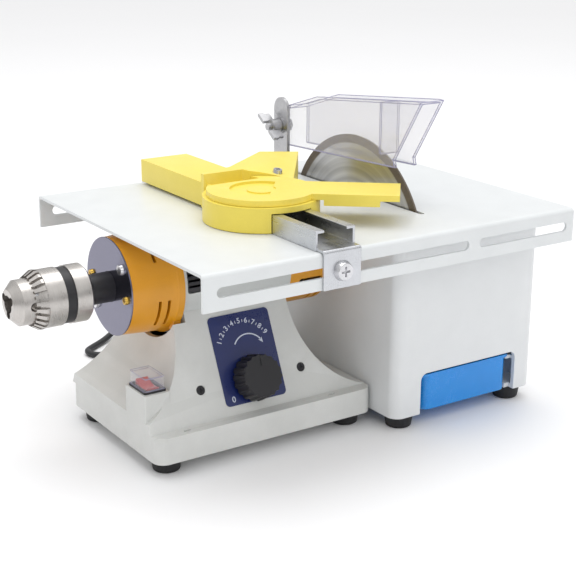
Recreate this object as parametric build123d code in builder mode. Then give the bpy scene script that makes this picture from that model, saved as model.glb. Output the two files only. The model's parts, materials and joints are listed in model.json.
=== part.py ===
"""Bench trim saw with a keyed chuck, a tilting guard, a fence with an angle guide and a water tray.

Frame: +X runs along the spindle from the chuck to the splash box, -Y is the front with the
control panel, +Z is up. The origin is at the middle of the footprint, on the surface the feet
stand on. Millimetres.
"""
from build123d import *
from math import atan2, cos, degrees, pi, radians, sin, sqrt, tan
import os

os.makedirs("parts", exist_ok=True)

# ---------------------------------------------------------------- driving dimensions
# table
table_width = 280.0
table_depth = 220.0
table_top = 141.0
table_sheet = 2.0
table_flange = 22.0
table_fold = 3.0
flange_slot_height = 6.0
flange_slot_drop = 11.5
front_slot_margin = 9.0
slot_web = 8.5
short_slot_length = 75.0

# blade and spindle
blade_diameter = 150.0
blade_thickness = 1.0
blade_rim_width = 10.0
blade_rim_extra = 0.15
blade_from_left = 186.8
blade_slot_width = 3.6
blade_slot_margin = 7.0
spindle_drop = 36.0
spindle_y = 4.0
shaft_diameter = 10.0
shaft_beyond_nut = 3.2
flange_diameter = 42.0
flange_thickness = 5.0
nut_length = 8.0
nut_across_flats = 17.0

# chuck
chuck_reach = 67.0
chuck_length = 48.0
chuck_diameter = 36.0
chuck_nose_diameter = 28.0
chuck_bore = 11.0
chuck_bore_depth = 24.0
chuck_gear_diameter = 36.6
chuck_gear_teeth = 24
jaw_diameter = 5.0
jaw_angle = 22.0
jaw_travel = 11.0
key_hole_diameter = 5.5

# motor
motor_diameter = 62.0
motor_wall = 2.5
left_cap_length = 34.0
casing_length = 79.5
right_cap_length = 36.0
rim_diameter = 68.0
rim_width = 5.0
end_disc_thickness = 1.0
boss_diameter = 19.0
boss_length = 17.0
bearing_od = 26.0
bearing_width = 8.0
field_length = 44.0
field_bore = 43.0
armature_diameter = 41.0
armature_slots = 12
commutator_diameter = 22.0
fan_diameter = 48.0
fan_blades = 9

# base
feet_height = 9.0
base_left = -110.5
base_width = 160.5
base_depth = 122.0
plinth_height = 17.0
base_wall = 3.0
tower_half_width = 42.0
tower_x = -37.5
tower_sweep = 60.0
tower_sweep_top = 84.0
tower_top = 90.0
panel_foot_inset = 11.0
panel_foot_z = 30.0
panel_slope = 24.0 / 52.0
rear_foot_inset = 5.0
foot_diameter = 20.0
bottom_plate = 1.5
switch_boss_width = 17.5
switch_boss_depth = 26.0
switch_boss_front = -45.3
switch_boss_top = 49.0

# control panel
label_width = 44.5
label_length = 57.0
label_thickness = 0.5
knob_diameter = 30.0
knob_height = 15.0
knob_z = 44.2
panel_x = tower_x + 4.0
panel_screw_spread = 74.5

# splash box and tray
box_left = 51.0
box_right_inset = 1.5
box_front_inset = 27.6
box_back_inset = 20.0
box_wall = 3.0
box_corner = 8.0
notch_left = 72.5
notch_width = 82.5
notch_top = 37.0
tray_clearance = 1.5
tray_drop = 2.2
notch_radius = 5.0
tray_wall = 2.0
tray_bottom = 9.6

# fence and guide
rail_width = 28.0
rail_height = 11.8
rail_wall = 1.6
rail_lip = 4.4
rail_x = -14.0
rail_tab_width = 26.5
rail_end_inset = 6.0
clamp_head_diameter = 12.7
clamp_shank = 5.0
guide_y = -24.0
guide_hub_radius = 37.0
guide_hub_height = 16.0
guide_ring_radius = 34.5
guide_ring_inner = 20.0
guide_ring_height = 20.0
guide_deck_height = 17.5
guide_wall_height = 24.0
guide_recess_floor = 13.8
guide_wall = 2.6
wing_slope = 0.187
arm_angle = -38.8
arm_reach = 86.5
arm_back_offset = 22.5
arm_front_offset = -12.0
arm_rib_bottom = 12.6

# guard
guard_width = 18.0
guard_wall = 1.8
pivot_y = 80.0
pivot_height = 35.0
bracket_thickness = 2.4
bracket_width = 17.0
guard_bolt_diameter = 5.0

# clearances
running_gap = 0.05
slide_gap = 0.2
play = 0.4

# ---------------------------------------------------------------- stations worked out from them
table_left = (chuck_reach - table_width) / 2
table_right = table_left + table_width
table_front = -table_depth / 2
table_back = table_depth / 2
table_under = table_top - table_sheet
flange_bottom = table_top - table_flange
slot_z = table_top - flange_slot_drop
spindle_z = table_top - spindle_drop
blade_x = table_left + blade_from_left
blade_radius = blade_diameter / 2
motor_radius = motor_diameter / 2
shaft_radius = shaft_diameter / 2
disc_x = table_left - 1.0
left_cap_x = disc_x + end_disc_thickness
casing_x = left_cap_x + left_cap_length
right_cap_x = casing_x + casing_length
motor_end_x = right_cap_x + right_cap_length
boss_end_x = disc_x - boss_length
chuck_nose_x = table_left - chuck_reach
chuck_back_x = chuck_nose_x + chuck_length
base_right = base_left + base_width
base_front = -base_depth / 2
base_back = base_depth / 2
plinth_top = feet_height + plinth_height
box_right = table_right - box_right_inset
box_front = table_front + box_front_inset
box_back = table_back - box_back_inset
rail_top = table_top + slide_gap + rail_height
pivot_z = table_top + pivot_height

spindle_axis = Axis((0, spindle_y, spindle_z), (1, 0, 0))
spindle_section = Plane(origin=(0, spindle_y, spindle_z), x_dir=(1, 0, 0), z_dir=(0, -1, 0))


def across_spindle(x):
    """A plane across the spindle at x: its local x is +Y and its local y is +Z."""
    return Plane(origin=(x, spindle_y, spindle_z), x_dir=(0, 1, 0), z_dir=(1, 0, 0))


def turned(*points):
    """A ring turned about the spindle from a profile of (x, radius) points."""
    with BuildPart() as ring:
        with BuildSketch(spindle_section):
            with BuildLine():
                Polyline(*points, close=True)
            make_face()
        revolve(axis=spindle_axis)
    return ring.part


def disc(x_start, x_end, outer, inner=0.0):
    """A plain washer or disc on the spindle."""
    return turned((x_start, inner), (x_end, inner), (x_end, outer), (x_start, outer))


def keep(piece, name):
    """Label a finished piece and write its STEP file."""
    piece.part.label = name
    export_step(piece.part, f"parts/{name}.step")


# ================================================================ base
panel_foot_y = base_front + panel_foot_inset
rear_foot_y = base_back - rear_foot_inset


def panel_y(z):
    """Y of the sloped control panel at height z."""
    return panel_foot_y + panel_slope * (z - panel_foot_z)


def rear_y(z):
    """Y of the sloped rear wall of the tower at height z."""
    return rear_foot_y - panel_slope * (z - panel_foot_z)


panel_tilt = degrees(atan2(panel_slope, 1.0))
panel_normal = Vector(0, -cos(radians(panel_tilt)), sin(radians(panel_tilt)))


def panel_plane(x, z, lift=0.0):
    """A plane on the sloped panel: its local x is +X and its local y runs up the slope."""
    foot = Vector(x, panel_y(z), z) + panel_normal * lift
    return Plane(origin=foot, x_dir=(1, 0, 0), z_dir=panel_normal)


def tower_body(inset, bottom, top):
    """The swept tower, shrunk by inset, between two heights."""
    half = tower_half_width - inset
    sweep = tower_sweep + inset
    left_centre = tower_x - half - sweep
    right_centre = tower_x + half + sweep
    left_edge = base_left + inset
    right_edge = base_right - inset
    left_foot = tower_sweep_top - sqrt(sweep**2 - (left_edge - left_centre) ** 2)
    right_foot = tower_sweep_top - sqrt(sweep**2 - (right_edge - right_centre) ** 2)
    left_turn = atan2(tower_sweep_top - left_foot, left_edge - left_centre) / 2
    right_turn = atan2(tower_sweep_top - right_foot, right_centre - right_edge) / 2
    left_middle = (left_centre + sweep * cos(left_turn), tower_sweep_top - sweep * sin(left_turn))
    right_middle = (right_centre - sweep * cos(right_turn), tower_sweep_top - sweep * sin(right_turn))
    with BuildPart() as tower:
        with BuildSketch(Plane.XZ):
            with BuildLine():
                Polyline((tower_x - half, tower_sweep_top), (tower_x - half, tower_top),
                         (tower_x + half, tower_top), (tower_x + half, tower_sweep_top))
                ThreePointArc((tower_x + half, tower_sweep_top), right_middle, (right_edge, right_foot))
                Polyline((right_edge, right_foot), (right_edge, bottom), (left_edge, bottom),
                         (left_edge, left_foot))
                ThreePointArc((left_edge, left_foot), left_middle, (tower_x - half, tower_sweep_top))
            make_face()
        extrude(amount=base_depth, both=True)
        across = inset * sqrt(1 + panel_slope**2)
        with BuildSketch(Plane.YZ):
            with BuildLine():
                Polyline((panel_y(bottom) + across, bottom), (panel_y(top) + across, top),
                         (rear_y(top) - across, top), (rear_y(bottom) - across, bottom), close=True)
            make_face()
        extrude(amount=base_width, both=True, mode=Mode.INTERSECT)
    return tower.part


post_diameter = 9.0
post_hole = 2.5
post_inset = 12.0
post_top = plinth_top - base_wall
base_middle = ((base_left + base_right) / 2, 0.0)
post_spacing = (base_width - 2 * post_inset - 2.0, base_depth - 2 * post_inset - 5.0)
cavity_top = spindle_z - motor_radius - 1.6 * base_wall
saddle_start = casing_x + 2.0
saddle_end = tower_x + tower_half_width + 4.0
switch_x = base_left + switch_boss_width / 2
switch_y = switch_boss_front + switch_boss_depth / 2
switch_hole = (12.6, 19.2)
ledge_mark_y = base_front + 5.0
pot_hole = 7.2
gland_x = -30.0
gland_z = 18.0
gland_hole = 9.0


def post_heads():
    """The tops of the screw posts, run up into the sloped walls of the tower."""
    with BuildPart() as heads:
        with BuildSketch(Plane.XY.offset(post_top - 1.0)):
            with Locations(base_middle):
                with GridLocations(*post_spacing, 2, 2):
                    Circle(post_diameter / 2)
        extrude(amount=30.0)
        add(tower_body(1.0, post_top - 1.0, tower_top), mode=Mode.INTERSECT)
    return heads.part


with BuildPart() as base_housing:
    add(tower_body(0.0, plinth_top - 1.0, tower_top))
    with BuildSketch(Plane.XY.offset(feet_height)):
        with Locations(base_middle):
            RectangleRounded(base_width, base_depth, 8.0)
    extrude(amount=plinth_height, taper=1.0)
    with BuildSketch(Plane.XY.offset(feet_height)):
        with Locations((switch_x, switch_y)):
            RectangleRounded(switch_boss_width, switch_boss_depth, 1.5)
    extrude(amount=switch_boss_top - feet_height)
    with BuildSketch(Plane.XY.offset(feet_height)):
        with Locations(base_middle):
            RectangleRounded(base_width - 2 * base_wall, base_depth - 2 * base_wall, 5.0)
    extrude(amount=plinth_height - base_wall, mode=Mode.SUBTRACT)
    add(tower_body(base_wall, post_top, cavity_top), mode=Mode.SUBTRACT)
    with BuildSketch(Plane.XY.offset(feet_height)):
        with Locations((switch_x, switch_y)):
            Rectangle(switch_boss_width - 4.0, switch_boss_depth - 4.0)
    extrude(amount=switch_boss_top - feet_height - 2.0, mode=Mode.SUBTRACT)
    with BuildSketch(Plane.XY.offset(switch_boss_top)):
        with Locations((switch_x, switch_y)):
            Rectangle(*switch_hole)
    extrude(amount=-4.0, mode=Mode.SUBTRACT)
    # saddle for the motor casing, opened out beside it for the two end caps
    add(disc(saddle_start, saddle_end, motor_radius + running_gap), mode=Mode.SUBTRACT)
    add(disc(tower_x - tower_half_width - 6, saddle_start, rim_diameter / 2 + 2.6), mode=Mode.SUBTRACT)
    # posts for the bottom plate screws
    with BuildSketch(Plane.XY.offset(feet_height + bottom_plate)):
        with Locations(base_middle):
            with GridLocations(*post_spacing, 2, 2):
                Circle(post_diameter / 2)
    extrude(amount=post_top - feet_height - bottom_plate)
    add(post_heads())
    with BuildSketch(Plane.XY.offset(feet_height)):
        with Locations(base_middle):
            with GridLocations(*post_spacing, 2, 2):
                Circle(post_hole / 2)
    extrude(amount=post_top - feet_height - 1.0, mode=Mode.SUBTRACT)
    # holes in the sloped panel: control shaft and two screws
    with BuildSketch(panel_plane(panel_x, knob_z)):
        Circle(pot_hole / 2)
    extrude(amount=base_wall * 2, both=True, mode=Mode.SUBTRACT)
    with BuildSketch(panel_plane(panel_x, knob_z)):
        with GridLocations(panel_screw_spread, 1, 2, 1):
            Circle(3.1)
    extrude(amount=-1.5, mode=Mode.SUBTRACT)
    with BuildSketch(panel_plane(panel_x, knob_z)):
        with GridLocations(panel_screw_spread, 1, 2, 1):
            Circle(1.6)
    extrude(amount=-base_wall * 2, mode=Mode.SUBTRACT)
    # two short marks on the ledge and the cable outlet at the rear
    with BuildSketch(Plane.XY.offset(plinth_top)):
        with Locations((tower_x - 50.0, ledge_mark_y), (tower_x + 57.0, ledge_mark_y)):
            SlotOverall(5.0, 1.8)
    extrude(amount=-1.2, mode=Mode.SUBTRACT)
    with BuildSketch(Plane.XZ.offset(-base_back)):
        with Locations((gland_x, gland_z)):
            Circle(gland_hole / 2)
    extrude(amount=base_wall * 2, both=True, mode=Mode.SUBTRACT)
keep(base_housing, "base_housing")

with BuildPart() as base_bottom_plate:
    with BuildSketch(Plane.XY.offset(feet_height)):
        with Locations(base_middle):
            RectangleRounded(base_width - 2 * base_wall - play, base_depth - 2 * base_wall - play, 4.8)
            with GridLocations(*post_spacing, 2, 2):
                Circle(1.7, mode=Mode.SUBTRACT)
    extrude(amount=bottom_plate)
keep(base_bottom_plate, "base_bottom_plate")

foot_seat = feet_height - 3.0
with BuildPart() as base_plate_screws:
    with BuildSketch(Plane.XY.offset(foot_seat)):
        with Locations(base_middle):
            with GridLocations(*post_spacing, 2, 2):
                Circle(3.2)
    extrude(amount=-2.0)
    with BuildSketch(Plane.XY.offset(foot_seat)):
        with Locations(base_middle):
            with GridLocations(*post_spacing, 2, 2):
                Circle(post_hole / 2)
    extrude(amount=post_top - 2.0 - foot_seat)
keep(base_plate_screws, "base_plate_screws")

with BuildPart() as panel_screws:
    with BuildSketch(panel_plane(panel_x, knob_z, -1.5)):
        with GridLocations(panel_screw_spread, 1, 2, 1):
            Circle(2.9)
    extrude(amount=1.3)
    with BuildSketch(panel_plane(panel_x, knob_z, -1.5)):
        with GridLocations(panel_screw_spread, 1, 2, 1):
            Circle(1.6)
    extrude(amount=-base_wall * 2)
    with BuildSketch(panel_plane(panel_x, knob_z, -0.2)):
        with GridLocations(panel_screw_spread, 1, 2, 1):
            Rectangle(3.2, 0.7)
            Rectangle(0.7, 3.2)
    extrude(amount=-0.8, mode=Mode.SUBTRACT)
keep(panel_screws, "panel_screws")

label_foot_z = panel_foot_z + 1.2
label_middle_z = label_foot_z + label_length / 2 * cos(radians(panel_tilt))
knob_up = (knob_z - label_middle_z) / cos(radians(panel_tilt))
with BuildPart() as control_label:
    with BuildSketch(panel_plane(panel_x, label_middle_z)):
        RectangleRounded(label_width, label_length, 3.0)
        with Locations((0, knob_up)):
            Circle(pot_hole / 2 + 0.4, mode=Mode.SUBTRACT)
    extrude(amount=label_thickness)
keep(control_label, "control_label")

pot_shaft_radius = 3.0
pot_depth = 10.0
with BuildPart() as speed_potentiometer:
    with BuildSketch(panel_plane(panel_x, knob_z, -base_wall)):
        Circle(8.0)
    extrude(amount=-pot_depth)
    with BuildSketch(panel_plane(panel_x, knob_z, -base_wall)):
        Circle(pot_hole / 2 - running_gap)
    extrude(amount=base_wall + label_thickness + 1.2)
    with BuildSketch(panel_plane(panel_x, knob_z, label_thickness)):
        RegularPolygon(5.2, 6)
        Circle(pot_hole / 2 - running_gap, mode=Mode.SUBTRACT)
    extrude(amount=1.8)
    with BuildSketch(panel_plane(panel_x, knob_z, label_thickness + 2.0)):
        Circle(pot_shaft_radius + running_gap)
    extrude(amount=-base_wall - 6.0, mode=Mode.SUBTRACT)
    with BuildSketch(panel_plane(panel_x, knob_z, -base_wall - pot_depth)):
        with Locations((0, -10.0)):
            Rectangle(12.0, 5.0)
    extrude(amount=2.0)
keep(speed_potentiometer, "speed_potentiometer")

knob_stand = label_thickness + 2.3
with BuildPart() as speed_knob:
    with BuildSketch(panel_plane(panel_x, knob_z, knob_stand)):
        Circle(knob_diameter / 2)
        with PolarLocations(knob_diameter / 2 + 0.6, 18):
            Circle(1.5, mode=Mode.SUBTRACT)
    extrude(amount=knob_height - knob_stand, taper=6)
    with BuildSketch(panel_plane(panel_x, knob_z, knob_stand)):
        Circle(pot_shaft_radius)
    extrude(amount=-base_wall - 5.0)
    with BuildSketch(panel_plane(panel_x, knob_z, knob_height)):
        with Locations((0, knob_diameter / 2 - 6.0)):
            Rectangle(1.2, 5.0)
    extrude(amount=-0.5, mode=Mode.SUBTRACT)
keep(speed_knob, "speed_knob")

board_z = feet_height + bottom_plate + 5.0
with BuildPart() as speed_control_board:
    with BuildSketch(Plane.XY.offset(board_z)):
        with Locations((tower_x + 12.0, 0)):
            Rectangle(70.0, 46.0)
    extrude(amount=1.6)
    with BuildSketch(Plane.XY.offset(board_z + 1.6)):
        with Locations((tower_x, 6.0)):
            Circle(6.0)
        with Locations((tower_x + 28.0, -8.0)):
            Rectangle(18.0, 12.0)
        with Locations((tower_x + 32.0, 14.0)):
            Rectangle(10.0, 4.0)
    extrude(amount=14.0)
    with BuildSketch(Plane.XY.offset(feet_height + bottom_plate)):
        with Locations((tower_x + 12.0, 0)):
            with GridLocations(60.0, 38.0, 2, 2):
                Circle(2.2)
    extrude(amount=5.0)
keep(speed_control_board, "speed_control_board")

# ---------------------------------------------------------------- switch
bezel = (15.0, 21.5)
bezel_height = 1.6
rocker_size = (8.6, 15.0)
rocker_pivot_z = switch_boss_top + 1.0
with BuildPart() as switch_body:
    with BuildSketch(Plane.XY.offset(switch_boss_top)):
        with Locations((switch_x, switch_y)):
            RectangleRounded(*bezel, 1.2)
    extrude(amount=bezel_height)
    with BuildSketch(Plane.XY.offset(switch_boss_top)):
        with Locations((switch_x, switch_y)):
            Rectangle(switch_hole[0] - play, switch_hole[1] - play)
    extrude(amount=-16.0)
    with BuildSketch(Plane.XY.offset(switch_boss_top + bezel_height)):
        with Locations((switch_x, switch_y)):
            Rectangle(rocker_size[0] + 0.8, rocker_size[1] + 1.6)
    extrude(amount=-9.5, mode=Mode.SUBTRACT)
    with BuildSketch(Plane.XY.offset(switch_boss_top - 16.0)):
        with Locations((switch_x, switch_y)):
            with GridLocations(1, 7.0, 1, 2):
                Rectangle(4.8, 0.8)
    extrude(amount=-7.0)
keep(switch_body, "switch_body")

rocker_radius = 13.0
with BuildPart() as switch_rocker:
    with BuildSketch(Plane.YZ.offset(switch_x)):
        with BuildLine():
            Polyline((switch_y - rocker_size[1] / 2, rocker_pivot_z - 1.0),
                     (switch_y - rocker_size[1] / 2, rocker_pivot_z + 1.2))
            ThreePointArc((switch_y - rocker_size[1] / 2, rocker_pivot_z + 1.2),
                          (switch_y, rocker_pivot_z + 0.4),
                          (switch_y + rocker_size[1] / 2, rocker_pivot_z + 3.4))
            Polyline((switch_y + rocker_size[1] / 2, rocker_pivot_z + 3.4),
                     (switch_y + rocker_size[1] / 2, rocker_pivot_z - 1.0),
                     (switch_y + 2.5, rocker_pivot_z - 5.0), (switch_y - 2.5, rocker_pivot_z - 5.0),
                     (switch_y - rocker_size[1] / 2, rocker_pivot_z - 1.0))
        make_face()
    extrude(amount=rocker_size[0] / 2, both=True)
keep(switch_rocker, "switch_rocker")

cap_wall = 0.8
cap_height = 8.2
with BuildPart() as switch_cap:
    with BuildSketch(Plane.XY.offset(switch_boss_top + bezel_height)):
        with Locations((switch_x, switch_y)):
            RectangleRounded(bezel[0] - 0.6, bezel[1] - 0.6, 1.4)
    extrude(amount=cap_height, taper=4)
    with BuildSketch(Plane.XY.offset(switch_boss_top + bezel_height)):
        with Locations((switch_x, switch_y)):
            RectangleRounded(bezel[0] - 0.6 - 2 * cap_wall, bezel[1] - 0.6 - 2 * cap_wall, 0.8)
    extrude(amount=cap_height - cap_wall, taper=4, mode=Mode.SUBTRACT)
keep(switch_cap, "switch_cap")

# ================================================================ motor
vent_x = casing_x + 3.3
vent_width = 11.0
vent_height = 19.0
with BuildPart() as motor_casing:
    add(disc(casing_x, right_cap_x, motor_radius, motor_radius - motor_wall))
    with BuildSketch(Plane.XZ.offset(-spindle_y)):
        with Locations((vent_x + vent_width / 2, spindle_z + 6.0)):
            RectangleRounded(vent_width, vent_height, 2.0)
    extrude(amount=motor_radius + 2.0, mode=Mode.SUBTRACT)
keep(motor_casing, "motor_casing")

with BuildPart() as vent_grille:
    with BuildSketch(Plane.XZ.offset(-spindle_y)):
        with Locations((vent_x + vent_width / 2, spindle_z + 6.0)):
            RectangleRounded(vent_width - 0.2, vent_height - 0.2, 1.9)
            with GridLocations(1, 3.6, 1, 4):
                Rectangle(vent_width - 2.4, 1.5, mode=Mode.SUBTRACT)
    extrude(amount=motor_radius + 2.0)
    add(disc(vent_x - 5, vent_x + vent_width + 5, motor_radius - 0.9), mode=Mode.INTERSECT)
    add(disc(vent_x - 5, vent_x + vent_width + 5, motor_radius - motor_wall), mode=Mode.SUBTRACT)
keep(vent_grille, "vent_grille")

cap_seat = bearing_od / 2
rim_radius = rim_diameter / 2
cap_end_wall = 3.0
cap_flare = 1.4
lobe_radius = 4.6
lobe_angles = (45.0, 135.0, 225.0, 315.0)
vent_slot_width = 1.9
vent_slot_length = 19.5
vent_slot_angles = (-26.0, 54.0, 126.0, 206.0)


def vent_slots(x_places, angles):
    """Tools that cut vent slots right through a motor cap, between its inner and outer walls."""
    with BuildPart() as cutters:
        for x in x_places:
            with BuildSketch(across_spindle(x)):
                for angle in angles:
                    with PolarLocations(motor_radius, 1, start_angle=angle):
                        Rectangle(12.0, vent_slot_length)
            extrude(amount=vent_slot_width)
    return cutters.part


with BuildPart() as motor_left_cap:
    add(turned((left_cap_x, cap_seat), (left_cap_x, motor_radius - 0.3),
               (casing_x - rim_width - 4.0, motor_radius + cap_flare),
               (casing_x - rim_width, rim_radius - 0.8), (casing_x - rim_width + 0.8, rim_radius),
               (casing_x, rim_radius), (casing_x, motor_radius - motor_wall),
               (left_cap_x + cap_end_wall, motor_radius - motor_wall),
               (left_cap_x + cap_end_wall, cap_seat + 3.0),
               (left_cap_x + bearing_width + 1.0, cap_seat + 3.0),
               (left_cap_x + bearing_width + 1.0, cap_seat)))
    with BuildSketch(across_spindle(casing_x - rim_width)):
        for angle in lobe_angles:
            with Locations((31.5 * cos(radians(angle)), 31.5 * sin(radians(angle)))):
                Circle(lobe_radius)
        Circle(motor_radius, mode=Mode.SUBTRACT)
    extrude(amount=rim_width)
    add(vent_slots((casing_x - 17.1, casing_x - 11.0), vent_slot_angles), mode=Mode.SUBTRACT)
keep(motor_left_cap, "motor_left_cap")

brush_x = right_cap_x + 8.0
brush_size = (6.0, 5.0)
with BuildPart() as motor_right_cap:
    add(turned((right_cap_x, motor_radius - motor_wall), (right_cap_x, motor_radius),
               (motor_end_x - 6.0, motor_radius), (motor_end_x, motor_radius - 6.0),
               (motor_end_x, cap_seat), (motor_end_x - bearing_width - 1.0, cap_seat),
               (motor_end_x - bearing_width - 1.0, cap_seat + 3.0),
               (motor_end_x - cap_end_wall, cap_seat + 3.0),
               (motor_end_x - cap_end_wall, motor_radius - 9.0),
               (motor_end_x - cap_end_wall - 5.0, motor_radius - motor_wall)))
    add(vent_slots((right_cap_x + 20.0, right_cap_x + 25.5), (60.0, 120.0, 240.0, 300.0)), mode=Mode.SUBTRACT)
    with BuildSketch(Plane.XY.offset(spindle_z)):
        with Locations((brush_x, spindle_y)):
            Circle(6.0)
    extrude(amount=motor_radius + 2.0, both=True, mode=Mode.SUBTRACT)
    with BuildSketch(Plane.XZ.offset(-spindle_y + 23.0)):
        with Locations((right_cap_x + 16.3, spindle_z - 9.5)):
            SlotOverall(18.0, 3.0)
    extrude(amount=12.0, mode=Mode.SUBTRACT)
keep(motor_right_cap, "motor_right_cap")

with BuildPart() as brush_holders:
    for side in (-1, 1):
        with BuildSketch(Plane.XY.offset(spindle_z + side * (commutator_diameter / 2 + 1.0))):
            with Locations((brush_x, spindle_y)):
                Circle(5.9)
                Rectangle(*brush_size, mode=Mode.SUBTRACT)
        extrude(amount=side * (motor_radius - commutator_diameter / 2 - 3.0))
        with BuildSketch(Plane.XY.offset(spindle_z + side * (motor_radius - 2.0))):
            with Locations((brush_x, spindle_y)):
                Circle(5.9)
        extrude(amount=side * 2.4)
        with BuildSketch(Plane.XY.offset(spindle_z + side * (motor_radius + 0.4))):
            with Locations((brush_x, spindle_y)):
                Rectangle(7.0, 1.2)
        extrude(amount=-side * 1.0, mode=Mode.SUBTRACT)
keep(brush_holders, "brush_holders")

with BuildPart() as carbon_brushes:
    for side in (-1, 1):
        with BuildSketch(Plane.XY.offset(spindle_z + side * (commutator_diameter / 2 + 0.3))):
            with Locations((brush_x, spindle_y)):
                Rectangle(brush_size[0] - 0.1, brush_size[1] - 0.1)
        extrude(amount=side * 14.0)
keep(carbon_brushes, "carbon_brushes")

disc_screw_ring = 23.5
steel_screw_angles = (139.5, 319.5)
brass_screw_angles = (7.0, 187.0)
with BuildPart() as end_disc:
    add(disc(disc_x, left_cap_x, motor_radius, boss_diameter / 2))
    with BuildSketch(across_spindle(disc_x)):
        for angle in steel_screw_angles + brass_screw_angles:
            with PolarLocations(disc_screw_ring, 1, start_angle=angle):
                Circle(1.6)
    extrude(amount=end_disc_thickness, mode=Mode.SUBTRACT)
keep(end_disc, "end_disc")

with BuildPart() as spindle_boss:
    add(turned((boss_end_x, shaft_radius + 0.6), (boss_end_x, boss_diameter / 2 - 1.0),
               (boss_end_x + 1.0, boss_diameter / 2), (left_cap_x, boss_diameter / 2),
               (left_cap_x, shaft_radius + 0.6)))
keep(spindle_boss, "spindle_boss")


def disc_screws(angles, head_radius, head_height):
    """Screws that hold the end disc to the left motor cap, at angles round the spindle."""
    places = [(disc_screw_ring * cos(radians(a)), disc_screw_ring * sin(radians(a))) for a in angles]
    with BuildPart() as screws:
        with BuildSketch(across_spindle(disc_x)):
            with Locations(*places):
                Circle(head_radius)
        extrude(amount=-head_height, taper=12)
        with BuildSketch(across_spindle(disc_x)):
            with Locations(*places):
                Circle(1.6)
        extrude(amount=end_disc_thickness)
        with BuildSketch(across_spindle(disc_x - head_height)):
            with Locations(*places):
                Rectangle(head_radius, 0.6)
                Rectangle(0.6, head_radius)
        extrude(amount=head_height / 2, mode=Mode.SUBTRACT)
    return screws.part


with BuildPart() as disc_screws_steel:
    add(disc_screws(steel_screw_angles, 3.4, 1.8))
keep(disc_screws_steel, "disc_screws_steel")

with BuildPart() as disc_screws_brass:
    add(disc_screws(brass_screw_angles, 2.6, 1.6))
keep(disc_screws_brass, "disc_screws_brass")

race = 3.0
with BuildPart() as bearings:
    for x in (left_cap_x, motor_end_x - bearing_width):
        add(disc(x, x + bearing_width, cap_seat, cap_seat - race))
        add(disc(x, x + bearing_width, shaft_radius + running_gap + race, shaft_radius + running_gap))
        add(disc(x + 1.0, x + bearing_width - 1.0, cap_seat - race, shaft_radius + running_gap + race))
keep(bearings, "bearings")

field_x = casing_x + 16.0
with BuildPart() as motor_field:
    add(disc(field_x, field_x + field_length, motor_radius - motor_wall, field_bore / 2))
    with BuildSketch(across_spindle(field_x)):
        with PolarLocations(motor_radius - motor_wall, 2, start_angle=90):
            Rectangle(5.0, 16.0)
    extrude(amount=field_length, mode=Mode.SUBTRACT)
keep(motor_field, "motor_field")

# ================================================================ rotor and blade
inner_flange_x = blade_x - blade_thickness / 2 - flange_thickness
outer_flange_x = blade_x + blade_thickness / 2
nut_x = outer_flange_x + flange_thickness
shaft_end_x = nut_x + nut_length + shaft_beyond_nut
shaft_shoulder = 4.0
shaft_thread = 14.0
with BuildPart() as spindle_shaft:
    add(turned((chuck_back_x - shaft_thread, 0), (shaft_end_x, 0), (shaft_end_x, shaft_radius - 1.0),
               (shaft_end_x - 1.0, shaft_radius), (inner_flange_x, shaft_radius),
               (inner_flange_x, shaft_radius + shaft_shoulder),
               (inner_flange_x - 4.0, shaft_radius + shaft_shoulder),
               (inner_flange_x - 4.0, shaft_radius), (chuck_back_x - shaft_thread, shaft_radius)))
keep(spindle_shaft, "spindle_shaft")

with BuildPart() as armature:
    add(disc(field_x + 1.0, field_x + field_length - 1.0, armature_diameter / 2, shaft_radius))
    with BuildSketch(across_spindle(field_x + 1.0)):
        with PolarLocations(armature_diameter / 2 - 2.0, armature_slots):
            Rectangle(7.0, 2.0)
    extrude(amount=field_length - 2.0, mode=Mode.SUBTRACT)
    add(disc(field_x - 7.0, field_x + 1.0, armature_diameter / 2 - 4.0, shaft_radius))
    add(disc(field_x + field_length - 1.0, field_x + field_length + 7.0,
             armature_diameter / 2 - 4.0, shaft_radius))
keep(armature, "armature")

with BuildPart() as commutator:
    add(disc(brush_x - 8.0, brush_x + 6.0, commutator_diameter / 2, shaft_radius))
    with BuildSketch(across_spindle(brush_x - 8.0)):
        with PolarLocations(commutator_diameter / 2, 24):
            Rectangle(1.4, 0.5)
    extrude(amount=14.0, mode=Mode.SUBTRACT)
keep(commutator, "commutator")

fan_x = brush_x + 9.0
with BuildPart() as cooling_fan:
    add(disc(fan_x, fan_x + 7.0, 9.0, shaft_radius))
    add(disc(fan_x, fan_x + 1.5, fan_diameter / 2 - 2.0, shaft_radius))
    with BuildSketch(across_spindle(fan_x + 1.5)):
        with PolarLocations((fan_diameter / 2 + 8.0) / 2, fan_blades):
            Rectangle(fan_diameter / 2 - 9.5, 1.4, rotation=18)
    extrude(amount=5.5)
keep(cooling_fan, "cooling_fan")

with BuildPart() as blade_inner_flange:
    add(turned((inner_flange_x, shaft_radius), (inner_flange_x + flange_thickness, shaft_radius),
               (inner_flange_x + flange_thickness, flange_diameter / 2),
               (inner_flange_x + 3.0, flange_diameter / 2), (inner_flange_x, flange_diameter / 2 - 7)))
keep(blade_inner_flange, "blade_inner_flange")

with BuildPart() as saw_blade:
    add(disc(inner_flange_x + flange_thickness, outer_flange_x, blade_radius, shaft_radius))
    add(disc(blade_x - blade_thickness / 2 - blade_rim_extra,
             blade_x + blade_thickness / 2 + blade_rim_extra,
             blade_radius, blade_radius - blade_rim_width))
keep(saw_blade, "saw_blade")

with BuildPart() as blade_outer_flange:
    add(turned((outer_flange_x, shaft_radius), (outer_flange_x, flange_diameter / 2),
               (outer_flange_x + 2.0, flange_diameter / 2),
               (outer_flange_x + flange_thickness, flange_diameter / 2 - 7),
               (outer_flange_x + flange_thickness, shaft_radius)))
keep(blade_outer_flange, "blade_outer_flange")

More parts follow.
